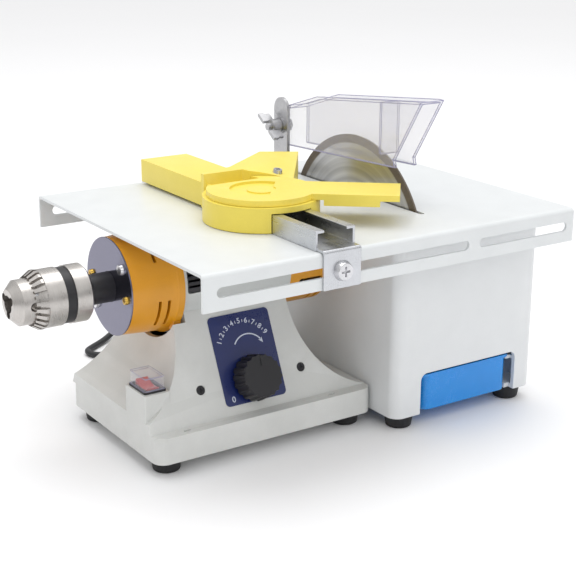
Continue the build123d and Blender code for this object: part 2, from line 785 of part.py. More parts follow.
with BuildPart() as arbor_nut:
    with BuildSketch(across_spindle(nut_x)):
        RegularPolygon(nut_across_flats / 2, 6, major_radius=False)
        Circle(shaft_radius, mode=Mode.SUBTRACT)
    extrude(amount=nut_length)
keep(arbor_nut, "arbor_nut")

# ================================================================ chuck
chuck_radius = chuck_diameter / 2
nose_radius = chuck_nose_diameter / 2
collar_x = chuck_nose_x + 18.0
sleeve_end_x = chuck_nose_x + 31.0
band_end_x = chuck_nose_x + 37.0
sleeve_bore = 14.4
cone_length = 5.0
jaw_bore_radius = chuck_bore / 2
jaw_start_radius = jaw_bore_radius + jaw_diameter / 2 + 0.2
jaw_length = 13.0
jaw_tip_x = chuck_nose_x + 5.0


def jaw_frame(number, gap=0.0):
    """Plane at the back end of a jaw; its normal points along the jaw towards the nose."""
    turn = radians(30.0 + 120.0 * number)
    outward = Vector(0, cos(turn), sin(turn))
    along = Vector(-1, 0, 0) * cos(radians(jaw_angle)) - outward * sin(radians(jaw_angle))
    tip = Vector(jaw_tip_x, spindle_y, spindle_z) + outward * jaw_start_radius
    return Plane(origin=tip - along * (jaw_length + gap), x_dir=(along.cross(outward)), z_dir=along)


with BuildPart() as chuck_body:
    add(turned((chuck_nose_x, jaw_bore_radius), (chuck_nose_x, 9.0), (chuck_nose_x + cone_length, nose_radius),
               (collar_x, nose_radius), (collar_x, sleeve_bore), (sleeve_end_x, sleeve_bore),
               (band_end_x, sleeve_bore), (band_end_x, chuck_radius),
               (chuck_back_x - 1.2, chuck_radius), (chuck_back_x, chuck_radius - 1.2),
               (chuck_back_x, shaft_radius), (chuck_back_x - shaft_thread, shaft_radius),
               (chuck_back_x - shaft_thread, jaw_bore_radius)))
    for number in range(3):
        with BuildSketch(jaw_frame(number, 1.0)):
            Circle(jaw_diameter / 2 + running_gap)
        extrude(amount=jaw_length + jaw_travel + 8.0, mode=Mode.SUBTRACT)
    with BuildSketch(Plane(origin=(chuck_nose_x + 11.5, spindle_y, spindle_z), z_dir=(0, -1, 0))):
        Circle(key_hole_diameter / 2)
    extrude(amount=nose_radius + 1.0, mode=Mode.SUBTRACT)
    for turn in (120.0, 240.0):
        tilt = radians(turn + 180.0)
        with BuildSketch(Plane(origin=(chuck_nose_x + 11.5, spindle_y, spindle_z),
                               z_dir=(0, cos(tilt), sin(tilt)))):
            Circle(key_hole_diameter / 2)
        extrude(amount=nose_radius + 1.0, mode=Mode.SUBTRACT)
keep(chuck_body, "chuck_body")

with BuildPart() as chuck_band:
    add(disc(sleeve_end_x, band_end_x, chuck_radius - 0.7, sleeve_bore))
keep(chuck_band, "chuck_band")

gear_length = 6.0
with BuildPart() as chuck_sleeve:
    add(turned((collar_x - gear_length + 1.5, nose_radius + 0.3),
               (collar_x - gear_length, nose_radius + 1.2),
               (collar_x - 1.0, chuck_gear_diameter / 2), (collar_x + 0.4, chuck_gear_diameter / 2),
               (collar_x + 1.2, chuck_radius), (sleeve_end_x - slide_gap, chuck_radius),
               (sleeve_end_x - slide_gap, sleeve_bore + running_gap),
               (collar_x - slide_gap, sleeve_bore + running_gap),
               (collar_x - slide_gap, nose_radius + 0.3)))
    for tooth in range(chuck_gear_teeth):
        turn = radians(360.0 / chuck_gear_teeth * tooth)
        outward = Vector(0, cos(turn), sin(turn))
        foot = Vector(collar_x - gear_length - 1.0, spindle_y, spindle_z) + outward * nose_radius
        run = Vector(gear_length, 0, 0) + outward * (chuck_gear_diameter / 2 - nose_radius)
        with BuildSketch(Plane(origin=foot, x_dir=run.cross(outward), z_dir=run)):
            with Locations((0, 0)):
                Rectangle(2.0, 4.0)
        extrude(amount=run.length + 1.5, mode=Mode.SUBTRACT)
keep(chuck_sleeve, "chuck_sleeve")

for number in range(3):
    with BuildPart() as chuck_jaw:
        with BuildSketch(jaw_frame(number)):
            Circle(jaw_diameter / 2)
        extrude(amount=jaw_length)
        # the gripping flat is parallel to the spindle
        add(disc(chuck_nose_x - 5.0, chuck_back_x, jaw_bore_radius - 0.1), mode=Mode.SUBTRACT)
        add(disc(chuck_nose_x, chuck_back_x, chuck_radius, sleeve_bore - 0.3), mode=Mode.SUBTRACT)
    keep(chuck_jaw, f"chuck_jaw_{number + 1}")

# ================================================================ splash box and tray
box_width = box_right - box_left
box_depth = box_back - box_front
box_middle = ((box_left + box_right) / 2, (box_front + box_back) / 2)
tray_left = notch_left + tray_clearance
tray_width = notch_width - 2 * tray_clearance
tray_rim = 3.0
tray_rim_top = notch_top - tray_drop
shelf_top = tray_rim_top - 1.8 - slide_gap
shelf_thickness = 2.5
shaft_hole = 9.0
pad = 22.0
stud_inset = 9.0
stud_diameter = 5.0
lip_thickness = 3.0
lip_width = 14.0

with BuildPart() as splash_box:
    with BuildSketch(Plane.XY.offset(feet_height)):
        with Locations(box_middle):
            RectangleRounded(box_width, box_depth, box_corner)
    extrude(amount=table_under - feet_height)
    with BuildSketch(Plane.XY.offset(feet_height)):
        with Locations(box_middle):
            RectangleRounded(box_width - 2 * box_wall, box_depth - 2 * box_wall, box_corner - box_wall)
    extrude(amount=table_under - feet_height - lip_thickness, mode=Mode.SUBTRACT)
    with BuildSketch(Plane.XY.offset(table_under - lip_thickness)):
        with Locations(box_middle):
            RectangleRounded(box_width - 2 * lip_width, box_depth - 2 * lip_width, 4.0)
    extrude(amount=lip_thickness, mode=Mode.SUBTRACT)
    # shelves that carry the rims of the tray
    with BuildSketch(Plane.XY.offset(shelf_top - shelf_thickness)):
        with Locations(box_middle):
            Rectangle(box_width - 2 * box_wall, box_depth - 2 * box_wall)
        with Locations((tray_left + tray_width / 2, box_middle[1])):
            Rectangle(tray_width - 2 * tray_rim + 2 * play, box_depth, mode=Mode.SUBTRACT)
    extrude(amount=shelf_thickness)
    # corner pads over the feet
    with BuildSketch(Plane.XY.offset(feet_height)):
        with Locations(box_middle):
            with GridLocations(box_width - 2 * box_wall - pad + 4, box_depth - 2 * box_wall - pad + 4, 2, 2):
                Rectangle(pad - 4, pad - 4)
    extrude(amount=3.0)
    # notch for the tray, hole for the spindle, holes for the table studs and the feet screws
    with BuildSketch(Plane.XZ.offset(-box_front)):
        with Locations((notch_left + notch_width / 2, (notch_top + feet_height) / 2 - 5)):
            RectangleRounded(notch_width, notch_top - feet_height + 10, notch_radius)
    extrude(amount=box_wall + 2.0, both=True, mode=Mode.SUBTRACT)
    add(disc(box_left - 1.0, box_left + box_wall + 1.0, shaft_hole), mode=Mode.SUBTRACT)
    with BuildSketch(Plane.XY.offset(table_under)):
        with Locations(box_middle):
            with GridLocations(box_width - 2 * stud_inset, box_depth - 2 * stud_inset - 10, 2, 2):
                Circle(stud_diameter / 2 + 0.3)
    extrude(amount=-lip_thickness, mode=Mode.SUBTRACT)
keep(splash_box, "splash_box")

foot_recess = 4.0
box_foot_spacing = (box_width - 2 * 13.0, box_depth - 2 * 12.0)


def feet_circles(radius):
    """Sketch of the four feet under the base and the four under the splash box."""
    with BuildSketch() as circles:
        with Locations(base_middle):
            with GridLocations(*post_spacing, 2, 2):
                Circle(radius)
        with Locations(box_middle):
            with GridLocations(*box_foot_spacing, 2, 2):
                Circle(radius)
    return circles.sketch


with BuildPart() as rubber_feet:
    with BuildSketch():
        add(feet_circles(foot_diameter / 2 - 1.5))
    extrude(amount=feet_height, taper=-9)
    with BuildSketch():
        add(feet_circles(foot_recess))
    extrude(amount=feet_height - 3.0, mode=Mode.SUBTRACT)
    with BuildSketch():
        with Locations(base_middle):
            with GridLocations(*post_spacing, 2, 2):
                Circle(1.7)
    extrude(amount=feet_height, mode=Mode.SUBTRACT)
keep(rubber_feet, "rubber_feet")

with BuildPart() as shaft_seal:
    add(turned((box_left - 1.5, shaft_radius + 0.3), (box_left - 1.5, shaft_hole + 2.5),
               (box_left, shaft_hole + 2.5), (box_left, shaft_hole), (box_left + box_wall, shaft_hole),
               (box_left + box_wall, shaft_radius + 0.3)))
keep(shaft_seal, "shaft_seal")

tray_front = box_front + 2.4
tray_depth = box_depth - box_wall - 2.4 - 2.0
tray_places = (tray_left + tray_width / 2, tray_front + tray_depth / 2)
tray_body_width = tray_width - 2 * tray_rim
with BuildPart() as water_tray:
    with BuildSketch(Plane.XY.offset(tray_bottom)):
        with Locations(tray_places):
            RectangleRounded(tray_body_width, tray_depth, 6.0)
    extrude(amount=tray_rim_top - tray_bottom)
    with BuildSketch(Plane.XY.offset(tray_rim_top - 1.8)):
        with Locations(tray_places):
            RectangleRounded(tray_width, tray_depth, 6.0)
    extrude(amount=1.8)
    with BuildSketch(Plane.XY.offset(tray_bottom + tray_wall)):
        with Locations(tray_places):
            RectangleRounded(tray_body_width - 2 * tray_wall, tray_depth - 2 * tray_wall, 4.0)
    extrude(amount=tray_rim_top - tray_bottom, mode=Mode.SUBTRACT)
keep(water_tray, "water_tray")

# ================================================================ table
long_slot_start = table_left + front_slot_margin
short_slot_end = table_right - front_slot_margin + 3.0
short_slot_start = short_slot_end - short_slot_length
long_slot_end = short_slot_start - slot_web
blade_chord = sqrt(blade_radius**2 - spindle_drop**2)
blade_slot_front = spindle_y - blade_chord - blade_slot_margin
blade_slot_back = spindle_y + blade_chord + blade_slot_margin

with BuildPart() as saw_table:
    with BuildSketch(Plane.YZ.offset(table_left)):
        with BuildLine():
            Polyline((table_front, flange_bottom), (table_front, table_top), (table_back, table_top),
                     (table_back, flange_bottom), (table_back - table_sheet, flange_bottom),
                     (table_back - table_sheet, table_under), (table_front + table_sheet, table_under),
                     (table_front + table_sheet, flange_bottom), close=True)
        make_face()
    extrude(amount=table_width)
    outer_edges = [e for e in saw_table.edges().filter_by(Axis.X)
                   if e.center().Z > table_top - 0.01]
    fillet(outer_edges, table_fold)
    inner_edges = [e for e in saw_table.edges().filter_by(Axis.X)
                   if abs(e.center().Z - table_under) < 0.01]
    fillet(inner_edges, table_fold - table_sheet)
    with BuildSketch(Plane.XZ):
        with Locations(((long_slot_start + long_slot_end) / 2, slot_z)):
            SlotOverall(long_slot_end - long_slot_start, flange_slot_height)
        with Locations(((short_slot_start + short_slot_end) / 2, slot_z)):
            SlotOverall(short_slot_end - short_slot_start, flange_slot_height)
    extrude(amount=table_depth, both=True, mode=Mode.SUBTRACT)
    with BuildSketch(Plane.XY.offset(table_top)):
        with Locations((blade_x, (blade_slot_front + blade_slot_back) / 2)):
            SlotOverall(blade_slot_back - blade_slot_front, blade_slot_width, rotation=90)
    extrude(amount=-table_sheet * 2, mode=Mode.SUBTRACT)
keep(saw_table, "saw_table")

with BuildPart() as table_studs:
    with BuildSketch(Plane.XY.offset(table_under)):
        with Locations(box_middle):
            with GridLocations(box_width - 2 * stud_inset, box_depth - 2 * stud_inset - 10, 2, 2):
                Circle(stud_diameter / 2)
    extrude(amount=-lip_thickness - 7.0)
    with BuildSketch(Plane.XY.offset(table_under - lip_thickness)):
        with Locations(box_middle):
            with GridLocations(box_width - 2 * stud_inset, box_depth - 2 * stud_inset - 10, 2, 2):
                RegularPolygon(4.0, 6, major_radius=False)
    extrude(amount=-4.0)
keep(table_studs, "table_studs")

with BuildPart() as table_pad:
    with BuildSketch(Plane.XY.offset(table_under)):
        with Locations(((casing_x + right_cap_x) / 2, spindle_y)):
            RectangleRounded(46.0, 26.0, 3.0)
    extrude(amount=-(table_under - spindle_z))
    add(disc(casing_x, right_cap_x, motor_radius + running_gap), mode=Mode.SUBTRACT)
keep(table_pad, "table_pad")

# ================================================================ fence
rail_bottom = table_top + slide_gap
rail_front = table_front + rail_end_inset
rail_back = table_back - rail_end_inset
tab_gap = slide_gap
tab_front = table_front - tab_gap - rail_wall
rail_half = rail_width / 2


def rail_profile():
    """Outline of the open channel, closed below and with two lips turned in at the top."""
    inner = rail_half - rail_wall
    lip = rail_half - rail_wall - rail_lip
    lip_under = rail_top - rail_wall
    floor_top = rail_bottom + rail_wall
    return [(-rail_half, rail_bottom), (rail_half, rail_bottom), (rail_half, rail_top), (lip, rail_top),
            (lip, lip_under), (inner, lip_under), (inner, floor_top), (-inner, floor_top),
            (-inner, lip_under), (-lip, lip_under), (-lip, rail_top), (-rail_half, rail_top)]


with BuildPart() as fence_rail:
    with BuildSketch(Plane(origin=(rail_x, rail_front, 0), x_dir=(1, 0, 0), z_dir=(0, -1, 0))):
        with BuildLine():
            Polyline(*rail_profile(), close=True)
        make_face()
    extrude(amount=-(rail_back - rail_front))
    tab_reach = -tab_front
    with BuildSketch(Plane.YZ.offset(rail_x)):
        with BuildLine():
            Polyline((-tab_reach, flange_bottom), (-tab_reach, rail_bottom + rail_wall),
                     (tab_reach, rail_bottom + rail_wall), (tab_reach, flange_bottom),
                     (tab_reach - rail_wall, flange_bottom), (tab_reach - rail_wall, rail_bottom),
                     (rail_wall - tab_reach, rail_bottom), (rail_wall - tab_reach, flange_bottom),
                     close=True)
        make_face()
    extrude(amount=rail_tab_width / 2, both=True)
    bends = [e for e in fence_rail.edges().filter_by(Axis.X)
             if abs(abs(e.center().Y) - tab_reach) < 0.01 and e.center().Z > table_top]
    fillet(bends, 1.8)
    with BuildSketch(Plane.XZ):
        with Locations((rail_x, slot_z)):
            Circle(clamp_shank / 2 + 0.3)
    extrude(amount=table_depth, both=True, mode=Mode.SUBTRACT)
    with BuildSketch(Plane.XY.offset(rail_top)):
        with Locations((rail_x, 0)):
            Rectangle(rail_width + 10, rail_back - rail_front + 60)
    extrude(amount=20, mode=Mode.SUBTRACT)
keep(fence_rail, "fence_rail")

clamp_head_height = 3.4
clamp_nut_width = 9.5
clamp_nut_length = 4.0
clamp_shank_end = table_front + table_sheet + slide_gap + clamp_nut_length + 1.0


def clamp_screw(side):
    """Pan-head screw through a rail tab and the flange slot; side is -1 at the front, 1 at the rear."""
    with BuildPart() as screw:
        with BuildSketch(Plane.XZ.offset(-side * -tab_front)):
            with Locations((rail_x, slot_z)):
                Circle(clamp_head_diameter / 2)
        extrude(amount=-side * clamp_head_height, taper=20)
        with BuildSketch(Plane.XZ.offset(-side * -tab_front)):
            with Locations((rail_x, slot_z)):
                Circle(clamp_shank / 2)
        extrude(amount=side * (clamp_shank_end - tab_front))
        with BuildSketch(Plane.XZ.offset(-side * (clamp_head_height - tab_front))):
            with Locations((rail_x, slot_z)):
                Rectangle(6.0, 1.1)
                Rectangle(1.1, 6.0)
        extrude(amount=side * 1.6, mode=Mode.SUBTRACT)
    return screw.part


with BuildPart() as fence_clamp_screws:
    add(clamp_screw(-1))
    add(clamp_screw(1))
keep(fence_clamp_screws, "fence_clamp_screws")

with BuildPart() as fence_clamp_nuts:
    for side in (-1, 1):
        with BuildSketch(Plane.XZ.offset(-side * (table_back - table_sheet - slide_gap))):
            with Locations((rail_x, slot_z)):
                Rectangle(clamp_nut_width, clamp_nut_width)
                Circle(clamp_shank / 2, mode=Mode.SUBTRACT)
        extrude(amount=side * clamp_nut_length)
keep(fence_clamp_nuts, "fence_clamp_nuts")

# ---------------------------------------------------------------- angle guide
hub = Vector(rail_x, guide_y, 0)
arm_turn = radians(arm_angle)
arm_along = Vector(cos(arm_turn), sin(arm_turn), 0)
arm_side = Vector(-sin(arm_turn), cos(arm_turn), 0)
block_left = rail_x - rail_width / 2 - play - guide_wall - 1.0
block_right = rail_x + rail_width / 2 + play + guide_wall + 1.0
block_back = 103.0
skirt_bottom = table_top + 2.0
hub_skirt_bottom = table_top + 0.4
deck_z = table_top + guide_deck_height
wall_z = table_top + guide_wall_height
hub_z = table_top + guide_hub_height
ring_z = table_top + guide_ring_height
recess_z = table_top + guide_recess_floor
tunnel_top = rail_top + play
ring_clear = guide_ring_radius + 0.9
wall_y = 13.0
wing_back_left = (35.0, 55.0)
wing_back_right = (57.5, 40.5)
wing_front = (18.9, -10.8)
roof_start = (-4.0, wall_y)


def from_hub(along, side):
    """A point in plan, measured along and across the arm from the hub."""
    point = hub + arm_along * along + arm_side * side
    return (point.X, point.Y)


def plan_block(outline, bottom, top):
    """A straight block over an outline drawn in plan."""
    with BuildPart() as block:
        with BuildSketch(Plane.XY.offset(bottom)):
            with BuildLine():
                Polyline(*outline, close=True)
            make_face()
        extrude(amount=top - bottom)
    return block.part


def plan_disc(bottom, top, outer, inner=0.0):
    """A round block about the hub of the guide."""
    with BuildPart() as block:
        with BuildSketch(Plane.XY.offset(bottom)):
            with Locations((hub.X, hub.Y)):
                Circle(outer)
                if inner > 0:
                    Circle(inner, mode=Mode.SUBTRACT)
        extrude(amount=top - bottom)
    return block.part


def roofed_block(outline, bottom, drop):
    """A block over an outline, under a roof that is level behind and slopes down to the hub."""
    run = Vector(wing_back_right[0] - roof_start[0], wing_back_right[1] - roof_start[1], 0).normalized()
    down = Vector(run.Y, -run.X, 0)
    top = wall_z - drop
    with BuildPart() as block:
        with BuildSketch(Plane(origin=(*roof_start, 0), x_dir=down, z_dir=run)):
            with BuildLine():
                Polyline((-90, -bottom), (-90, -top), (0, -top), (60, -top + 60 * wing_slope),
                         (60, -bottom), close=True)
            make_face()
        extrude(amount=120, both=True)
        with BuildSketch(Plane.XY.offset(bottom)):
            with BuildLine():
                Polyline(*outline, close=True)
            make_face()
        extrude(amount=top - bottom + 10, mode=Mode.INTERSECT)
    return block.part


raised_outline = [(block_left - 2.0, wall_y), (roof_start[0] - 1.0, wall_y), (roof_start[0] + 4.0, 4.0),
                  wing_front, wing_back_right, wing_back_left, (roof_start[0] - 4.0, wall_y + 11.0),
                  (block_left - 2.0, wall_y + 3.6)]
wing_hollow = [(block_right + 2.6, 9.0), (wing_front[0] - 0.8, wing_front[1] + 5.5),
               (wing_back_right[0] - 3.6, wing_back_right[1] - 0.4),
               (wing_back_left[0] + 0.2, wing_back_left[1] - 3.4), (block_right + 2.6, 29.0)]

with BuildPart() as guide_base:
    add(plan_block([(block_left, 4.0), (block_right, 4.0), (block_right, block_back),
                    (block_left, block_back)], skirt_bottom, deck_z))
    add(roofed_block(raised_outline, skirt_bottom, 0.0))
    add(plan_disc(hub_z, wall_z + 5, ring_clear), mode=Mode.SUBTRACT)
    add(plan_disc(hub_skirt_bottom, hub_z, guide_hub_radius))
    # shallow recess in front of the upright wall
    add(plan_block([(block_left + 1.5, -4.0), (roof_start[0] + 3.0, -4.0), (roof_start[0] + 3.0, wall_y - 5),
                    (roof_start[0] - 1.0, wall_y), (block_left + 1.5, wall_y)],
                   recess_z, wall_z + 5), mode=Mode.SUBTRACT)
    # the tunnel over the rail and the hollow under the wing
    with BuildSketch(Plane.XY.offset(hub_skirt_bottom - 1)):
        with Locations((rail_x, 0)):
            Rectangle(rail_width + 2 * play, table_depth * 2)
    extrude(amount=tunnel_top - hub_skirt_bottom + 1, mode=Mode.SUBTRACT)
    add(roofed_block(wing_hollow, skirt_bottom - 1, guide_wall), mode=Mode.SUBTRACT)
    add(plan_disc(hub_z, hub_z + 3.2, 9.0))
keep(guide_base, "guide_base")

neck_half = rail_half - rail_wall - rail_lip - play
with BuildPart() as guide_slider:
    with BuildSketch(Plane.XY.offset(rail_bottom + rail_wall + slide_gap)):
        with Locations((rail_x, 20.0)):
            Rectangle(rail_width - 2 * rail_wall - 2 * slide_gap, 80.0)
    extrude(amount=rail_height - 2 * rail_wall - 2 * slide_gap)
    with BuildSketch(Plane.XY.offset(rail_bottom + rail_wall + slide_gap)):
        with Locations((rail_x, 20.0)):
            Rectangle(2 * neck_half, 80.0)
    extrude(amount=tunnel_top - rail_bottom - rail_wall - slide_gap)
keep(guide_slider, "guide_slider")

arm_tip_gap = 12.0
ring_recess = 1.6
arm_plan = [from_hub(0, arm_back_offset), from_hub(arm_reach, arm_back_offset),
            from_hub(arm_reach, arm_front_offset), from_hub(20.0, arm_front_offset),
            from_hub(-2.0, -guide_ring_radius + 0.6), from_hub(-10, 0)]
with BuildPart() as guide_arm:
    with BuildSketch(Plane.XY.offset(hub_z + slide_gap)):
        with Locations((hub.X, hub.Y)):
            Circle(guide_ring_radius)
        with BuildLine():
            Polyline(*arm_plan, close=True)
        make_face()
        # the back of the disc is cut away in front of the upright wall
        with BuildLine():
            Polyline((hub.X - 60, 0.0), (hub.X - 60, hub.Y + 60), (hub.X + 8.0, hub.Y + 60),
                     (hub.X + 14.0, hub.Y + 24.0), close=True)
        make_face(mode=Mode.SUBTRACT)
        with Locations((hub.X, hub.Y)):
            Circle(9.0 + running_gap, mode=Mode.SUBTRACT)
    extrude(amount=ring_z - hub_z - slide_gap)
    # shallow round recess in the disc, closed by the root of the arm
    with BuildSketch(Plane.XY.offset(ring_z)):
        with Locations((hub.X, hub.Y)):
            Circle(guide_ring_inner)
        with BuildLine():
            Polyline(from_hub(7.0, -60), from_hub(7.0, 60), from_hub(60.0, 60), from_hub(60.0, -60),
                     close=True)
        make_face(mode=Mode.SUBTRACT)
    extrude(amount=-ring_recess, mode=Mode.SUBTRACT)
    # stiffening box under the outer half of the arm
    with BuildSketch(Plane.XY.offset(table_top + arm_rib_bottom)):
        with BuildLine():
            Polyline(from_hub(40.0, arm_back_offset), from_hub(arm_reach - arm_tip_gap, arm_back_offset),
                     from_hub(arm_reach - arm_tip_gap, arm_front_offset), from_hub(40.0, arm_front_offset),
                     close=True)
        make_face()
    extrude(amount=hub_z + slide_gap - arm_rib_bottom - table_top)
    with BuildSketch(Plane.XY.offset(table_top + arm_rib_bottom)):
        with BuildLine():
            Polyline(from_hub(43.0, arm_back_offset - 3), from_hub(arm_reach - 15, arm_back_offset - 3),
                     from_hub(arm_reach - 15, arm_front_offset + 3), from_hub(43.0, arm_front_offset + 3),
                     close=True)
        make_face()
    extrude(amount=hub_z + slide_gap - arm_rib_bottom - table_top, mode=Mode.SUBTRACT)
keep(guide_arm, "guide_arm")

lock_x, lock_y = 16.5, 4.2
roof_run = Vector(wing_back_right[0] - roof_start[0], wing_back_right[1] - roof_start[1], 0).normalized()
lock_drop = (roof_run.Y * (lock_x - roof_start[0]) - roof_run.X * (lock_y - roof_start[1])) * wing_slope
lock_axis = Vector(roof_run.Y * wing_slope, -roof_run.X * wing_slope, 1).normalized()
lock_plane = Plane(origin=(lock_x, lock_y, wall_z - lock_drop), x_dir=roof_run, z_dir=lock_axis)
with BuildPart() as guide_lock_screw:
    with BuildSketch(lock_plane):
        Circle(3.4)
    extrude(amount=2.4, taper=12)
    with BuildSketch(lock_plane.offset(2.4)):
        Rectangle(3.8, 0.8)
        Rectangle(0.8, 3.8)
    extrude(amount=-1.1, mode=Mode.SUBTRACT)
keep(guide_lock_screw, "guide_lock_screw")

# ================================================================ guard
guard_left = blade_x - guard_width / 2
guard_right = blade_x + guard_width / 2
bracket_x = guard_left - slide_gap - bracket_thickness
web_y = -32.0
web_bottom = table_top + 33.0
guard_profile = [(88.0, pivot_z - 6.0), (75.0, table_top + 21.5), (-49.0, table_top + 27.5),
                 (-47.6, table_top + 32.3), (-73.6, table_top + 72.8), (-70.0, table_top + 73.0),
                 (38.3, table_top + 61.0), (76.8, table_top + 49.0), (88.0, pivot_z + 6.0)]


def guard_outline(shrink):
    """The guard's side view; the shrunk copy is open below and at the front."""
    if not shrink:
        return guard_profile
    wall = guard_wall
    return [(74.0, table_top), (-120.0, table_top), (-120.0, table_top + 78.4 - wall),
            (-70.0, table_top + 73.0 - wall), (38.0, table_top + 61.0 - wall),
            (74.0, table_top + 49.6 - wall)]


with BuildPart() as guard_cover:
    with BuildSketch(Plane.YZ.offset(guard_left)):
        with BuildLine():
            Polyline(*guard_outline(False), close=True)
        make_face()
    extrude(amount=guard_width)
    with BuildSketch(Plane.YZ.offset(guard_left + guard_wall)):
        with BuildLine():
            Polyline(*guard_outline(True), close=True)
        make_face()
    extrude(amount=guard_width - 2 * guard_wall, mode=Mode.SUBTRACT)
    with BuildSketch(Plane.YZ.offset(guard_left + guard_wall)):
        with Locations((82.0, pivot_z)):
            Rectangle(16.0, 60.0)
    extrude(amount=guard_width, mode=Mode.SUBTRACT)
    with BuildSketch(Plane.YZ.offset(guard_left + guard_wall)):
        with BuildLine():
            Polyline((web_y, web_bottom), (web_y, table_top + 67.0), (web_y + 1.6, table_top + 67.0),
                     (web_y + 1.6, web_bottom), close=True)
        make_face()
    extrude(amount=guard_width - 2 * guard_wall)
    with BuildSketch(Plane.YZ.offset(guard_left)):
        with Locations((pivot_y, pivot_z)):
            Circle(guard_bolt_diameter / 2 + running_gap)
    extrude(amount=guard_wall, mode=Mode.SUBTRACT)
keep(guard_cover, "guard_cover")

bracket_foot = 18.0
bracket_top = pivot_z + 20.0 - bracket_width / 2
bracket_screw_places = ((bracket_x - 6.0, pivot_y - 4.0), (bracket_x - 6.0, pivot_y + 4.0))
with BuildPart() as guard_bracket:
    with BuildSketch(Plane.YZ.offset(bracket_x)):
        with Locations((pivot_y, (table_top + bracket_top) / 2)):
            Rectangle(bracket_width, bracket_top - table_top)
        with Locations((pivot_y, bracket_top)):
            Circle(bracket_width / 2)
        with Locations((pivot_y, pivot_z)):
            Circle(guard_bolt_diameter / 2 + running_gap, mode=Mode.SUBTRACT)
    extrude(amount=bracket_thickness)
    with BuildSketch(Plane.XY.offset(table_top)):
        with Locations((bracket_x - bracket_foot / 2 + bracket_thickness, pivot_y)):
            Rectangle(bracket_foot, bracket_width)
        with Locations(*bracket_screw_places):
            Circle(1.7, mode=Mode.SUBTRACT)
    extrude(amount=bracket_thickness)
keep(guard_bracket, "guard_bracket")

with BuildPart() as bracket_screws:
    with BuildSketch(Plane.XY.offset(table_top + bracket_thickness)):
        with Locations(*bracket_screw_places):
            Circle(3.0)
    extrude(amount=1.8, taper=15)
    with BuildSketch(Plane.XY.offset(table_top)):
        with Locations(*bracket_screw_places):
            Circle(1.6)
    extrude(amount=bracket_thickness)
keep(bracket_screws, "bracket_screws")

bolt_head = 3.2
nut_gap = 1.4
wing_hub = 7.0
washer_x = bracket_x - 1.2
bolt_end = bracket_x - nut_gap - wing_hub - 3.0
with BuildPart() as guard_bolt:
    with BuildSketch(Plane.YZ.offset(guard_left + guard_wall + slide_gap)):
        with Locations((pivot_y, pivot_z)):
            RegularPolygon(4.0, 6, major_radius=False)
    extrude(amount=bolt_head)
    with BuildSketch(Plane.YZ.offset(bolt_end)):
        with Locations((pivot_y, pivot_z)):
            Circle(guard_bolt_diameter / 2)
    extrude(amount=guard_left + guard_wall + slide_gap - bolt_end)
    with BuildSketch(Plane.YZ.offset(washer_x)):
        with Locations((pivot_y, pivot_z)):
            Circle(6.0)
    extrude(amount=1.2)
keep(guard_bolt, "guard_bolt")

with BuildPart() as wing_nut:
    with BuildSketch(Plane.YZ.offset(washer_x - slide_gap - wing_hub)):
        with Locations((pivot_y, pivot_z)):
            Circle(5.0)
    extrude(amount=wing_hub)
    with BuildSketch(Plane(origin=(washer_x - slide_gap - wing_hub, pivot_y, pivot_z),
                           x_dir=(0, cos(radians(35)), sin(radians(35))), z_dir=(-1, 0, 0))):
        with GridLocations(17.0, 1, 2, 1):
            RectangleRounded(9.0, 2.4, 1.0)
    extrude(amount=4.0)
    with BuildSketch(Plane(origin=(washer_x - slide_gap - wing_hub, pivot_y, pivot_z),
                           x_dir=(0, cos(radians(35)), sin(radians(35))), z_dir=(1, 0, 0))):
        with GridLocations(13.0, 1, 2, 1):
            RectangleRounded(11.0, 2.4, 1.0)
    extrude(amount=4.5)
    with BuildSketch(Plane.YZ.offset(washer_x - slide_gap - wing_hub - 5.0)):
        with Locations((pivot_y, pivot_z)):
            Circle(guard_bolt_diameter / 2 + running_gap)
    extrude(amount=wing_hub + 6.0, mode=Mode.SUBTRACT)
keep(wing_nut, "wing_nut")

# ================================================================ mains lead
cord_diameter = 4.6
gland_length = 22.0
with BuildPart() as cord_gland:
    with BuildSketch(Plane.XZ.offset(-base_back - 2.0)):
        with Locations((gland_x, gland_z)):
            Circle(gland_hole / 2 + 2.0)
    extrude(amount=2.0)
    with BuildSketch(Plane.XZ.offset(-base_back)):
        with Locations((gland_x, gland_z)):
            Circle(gland_hole / 2)
    extrude(amount=base_wall + 3.0)
    with BuildSketch(Plane.XZ.offset(-base_back - 2.0)):
        with Locations((gland_x, gland_z)):
            Circle(4.4)
    extrude(amount=-(gland_length - 2.0), taper=2.6)
keep(cord_gland, "cord_gland")

# The coiled part of the lead: turns side by side in two layers, and one longer loop to the left.
loop_centre = (-43.0, 157.8)
hank_angle = 31.6
loop_turn = 9.5
hank_start = 62.0
hank_run = 75.0
hank_turn = loop_turn + 2 * cord_diameter
hank_half_width = hank_turn + cord_diameter / 2
hank_height = 2 * cord_diameter
hank_tail = 12.0
hank_along = Vector(cos(radians(hank_angle)), sin(radians(hank_angle)), 0)
hank_across = Vector(-sin(radians(hank_angle)), cos(radians(hank_angle)), 0)
inner_half_width = loop_turn - cord_diameter / 2
outer_loop_half = loop_turn + cord_diameter / 2


def on_hank(along, across, z=0.0):
    """A point measured along and across the coiled lead from the middle of its left loop."""
    point = Vector(*loop_centre, z) + hank_along * along + hank_across * across
    return (point.X, point.Y, point.Z)


def hank_plane(along, across=0.0):
    """A level plane with its local x along the coiled lead."""
    return Plane(origin=on_hank(along, across), x_dir=hank_along, z_dir=(0, 0, 1))


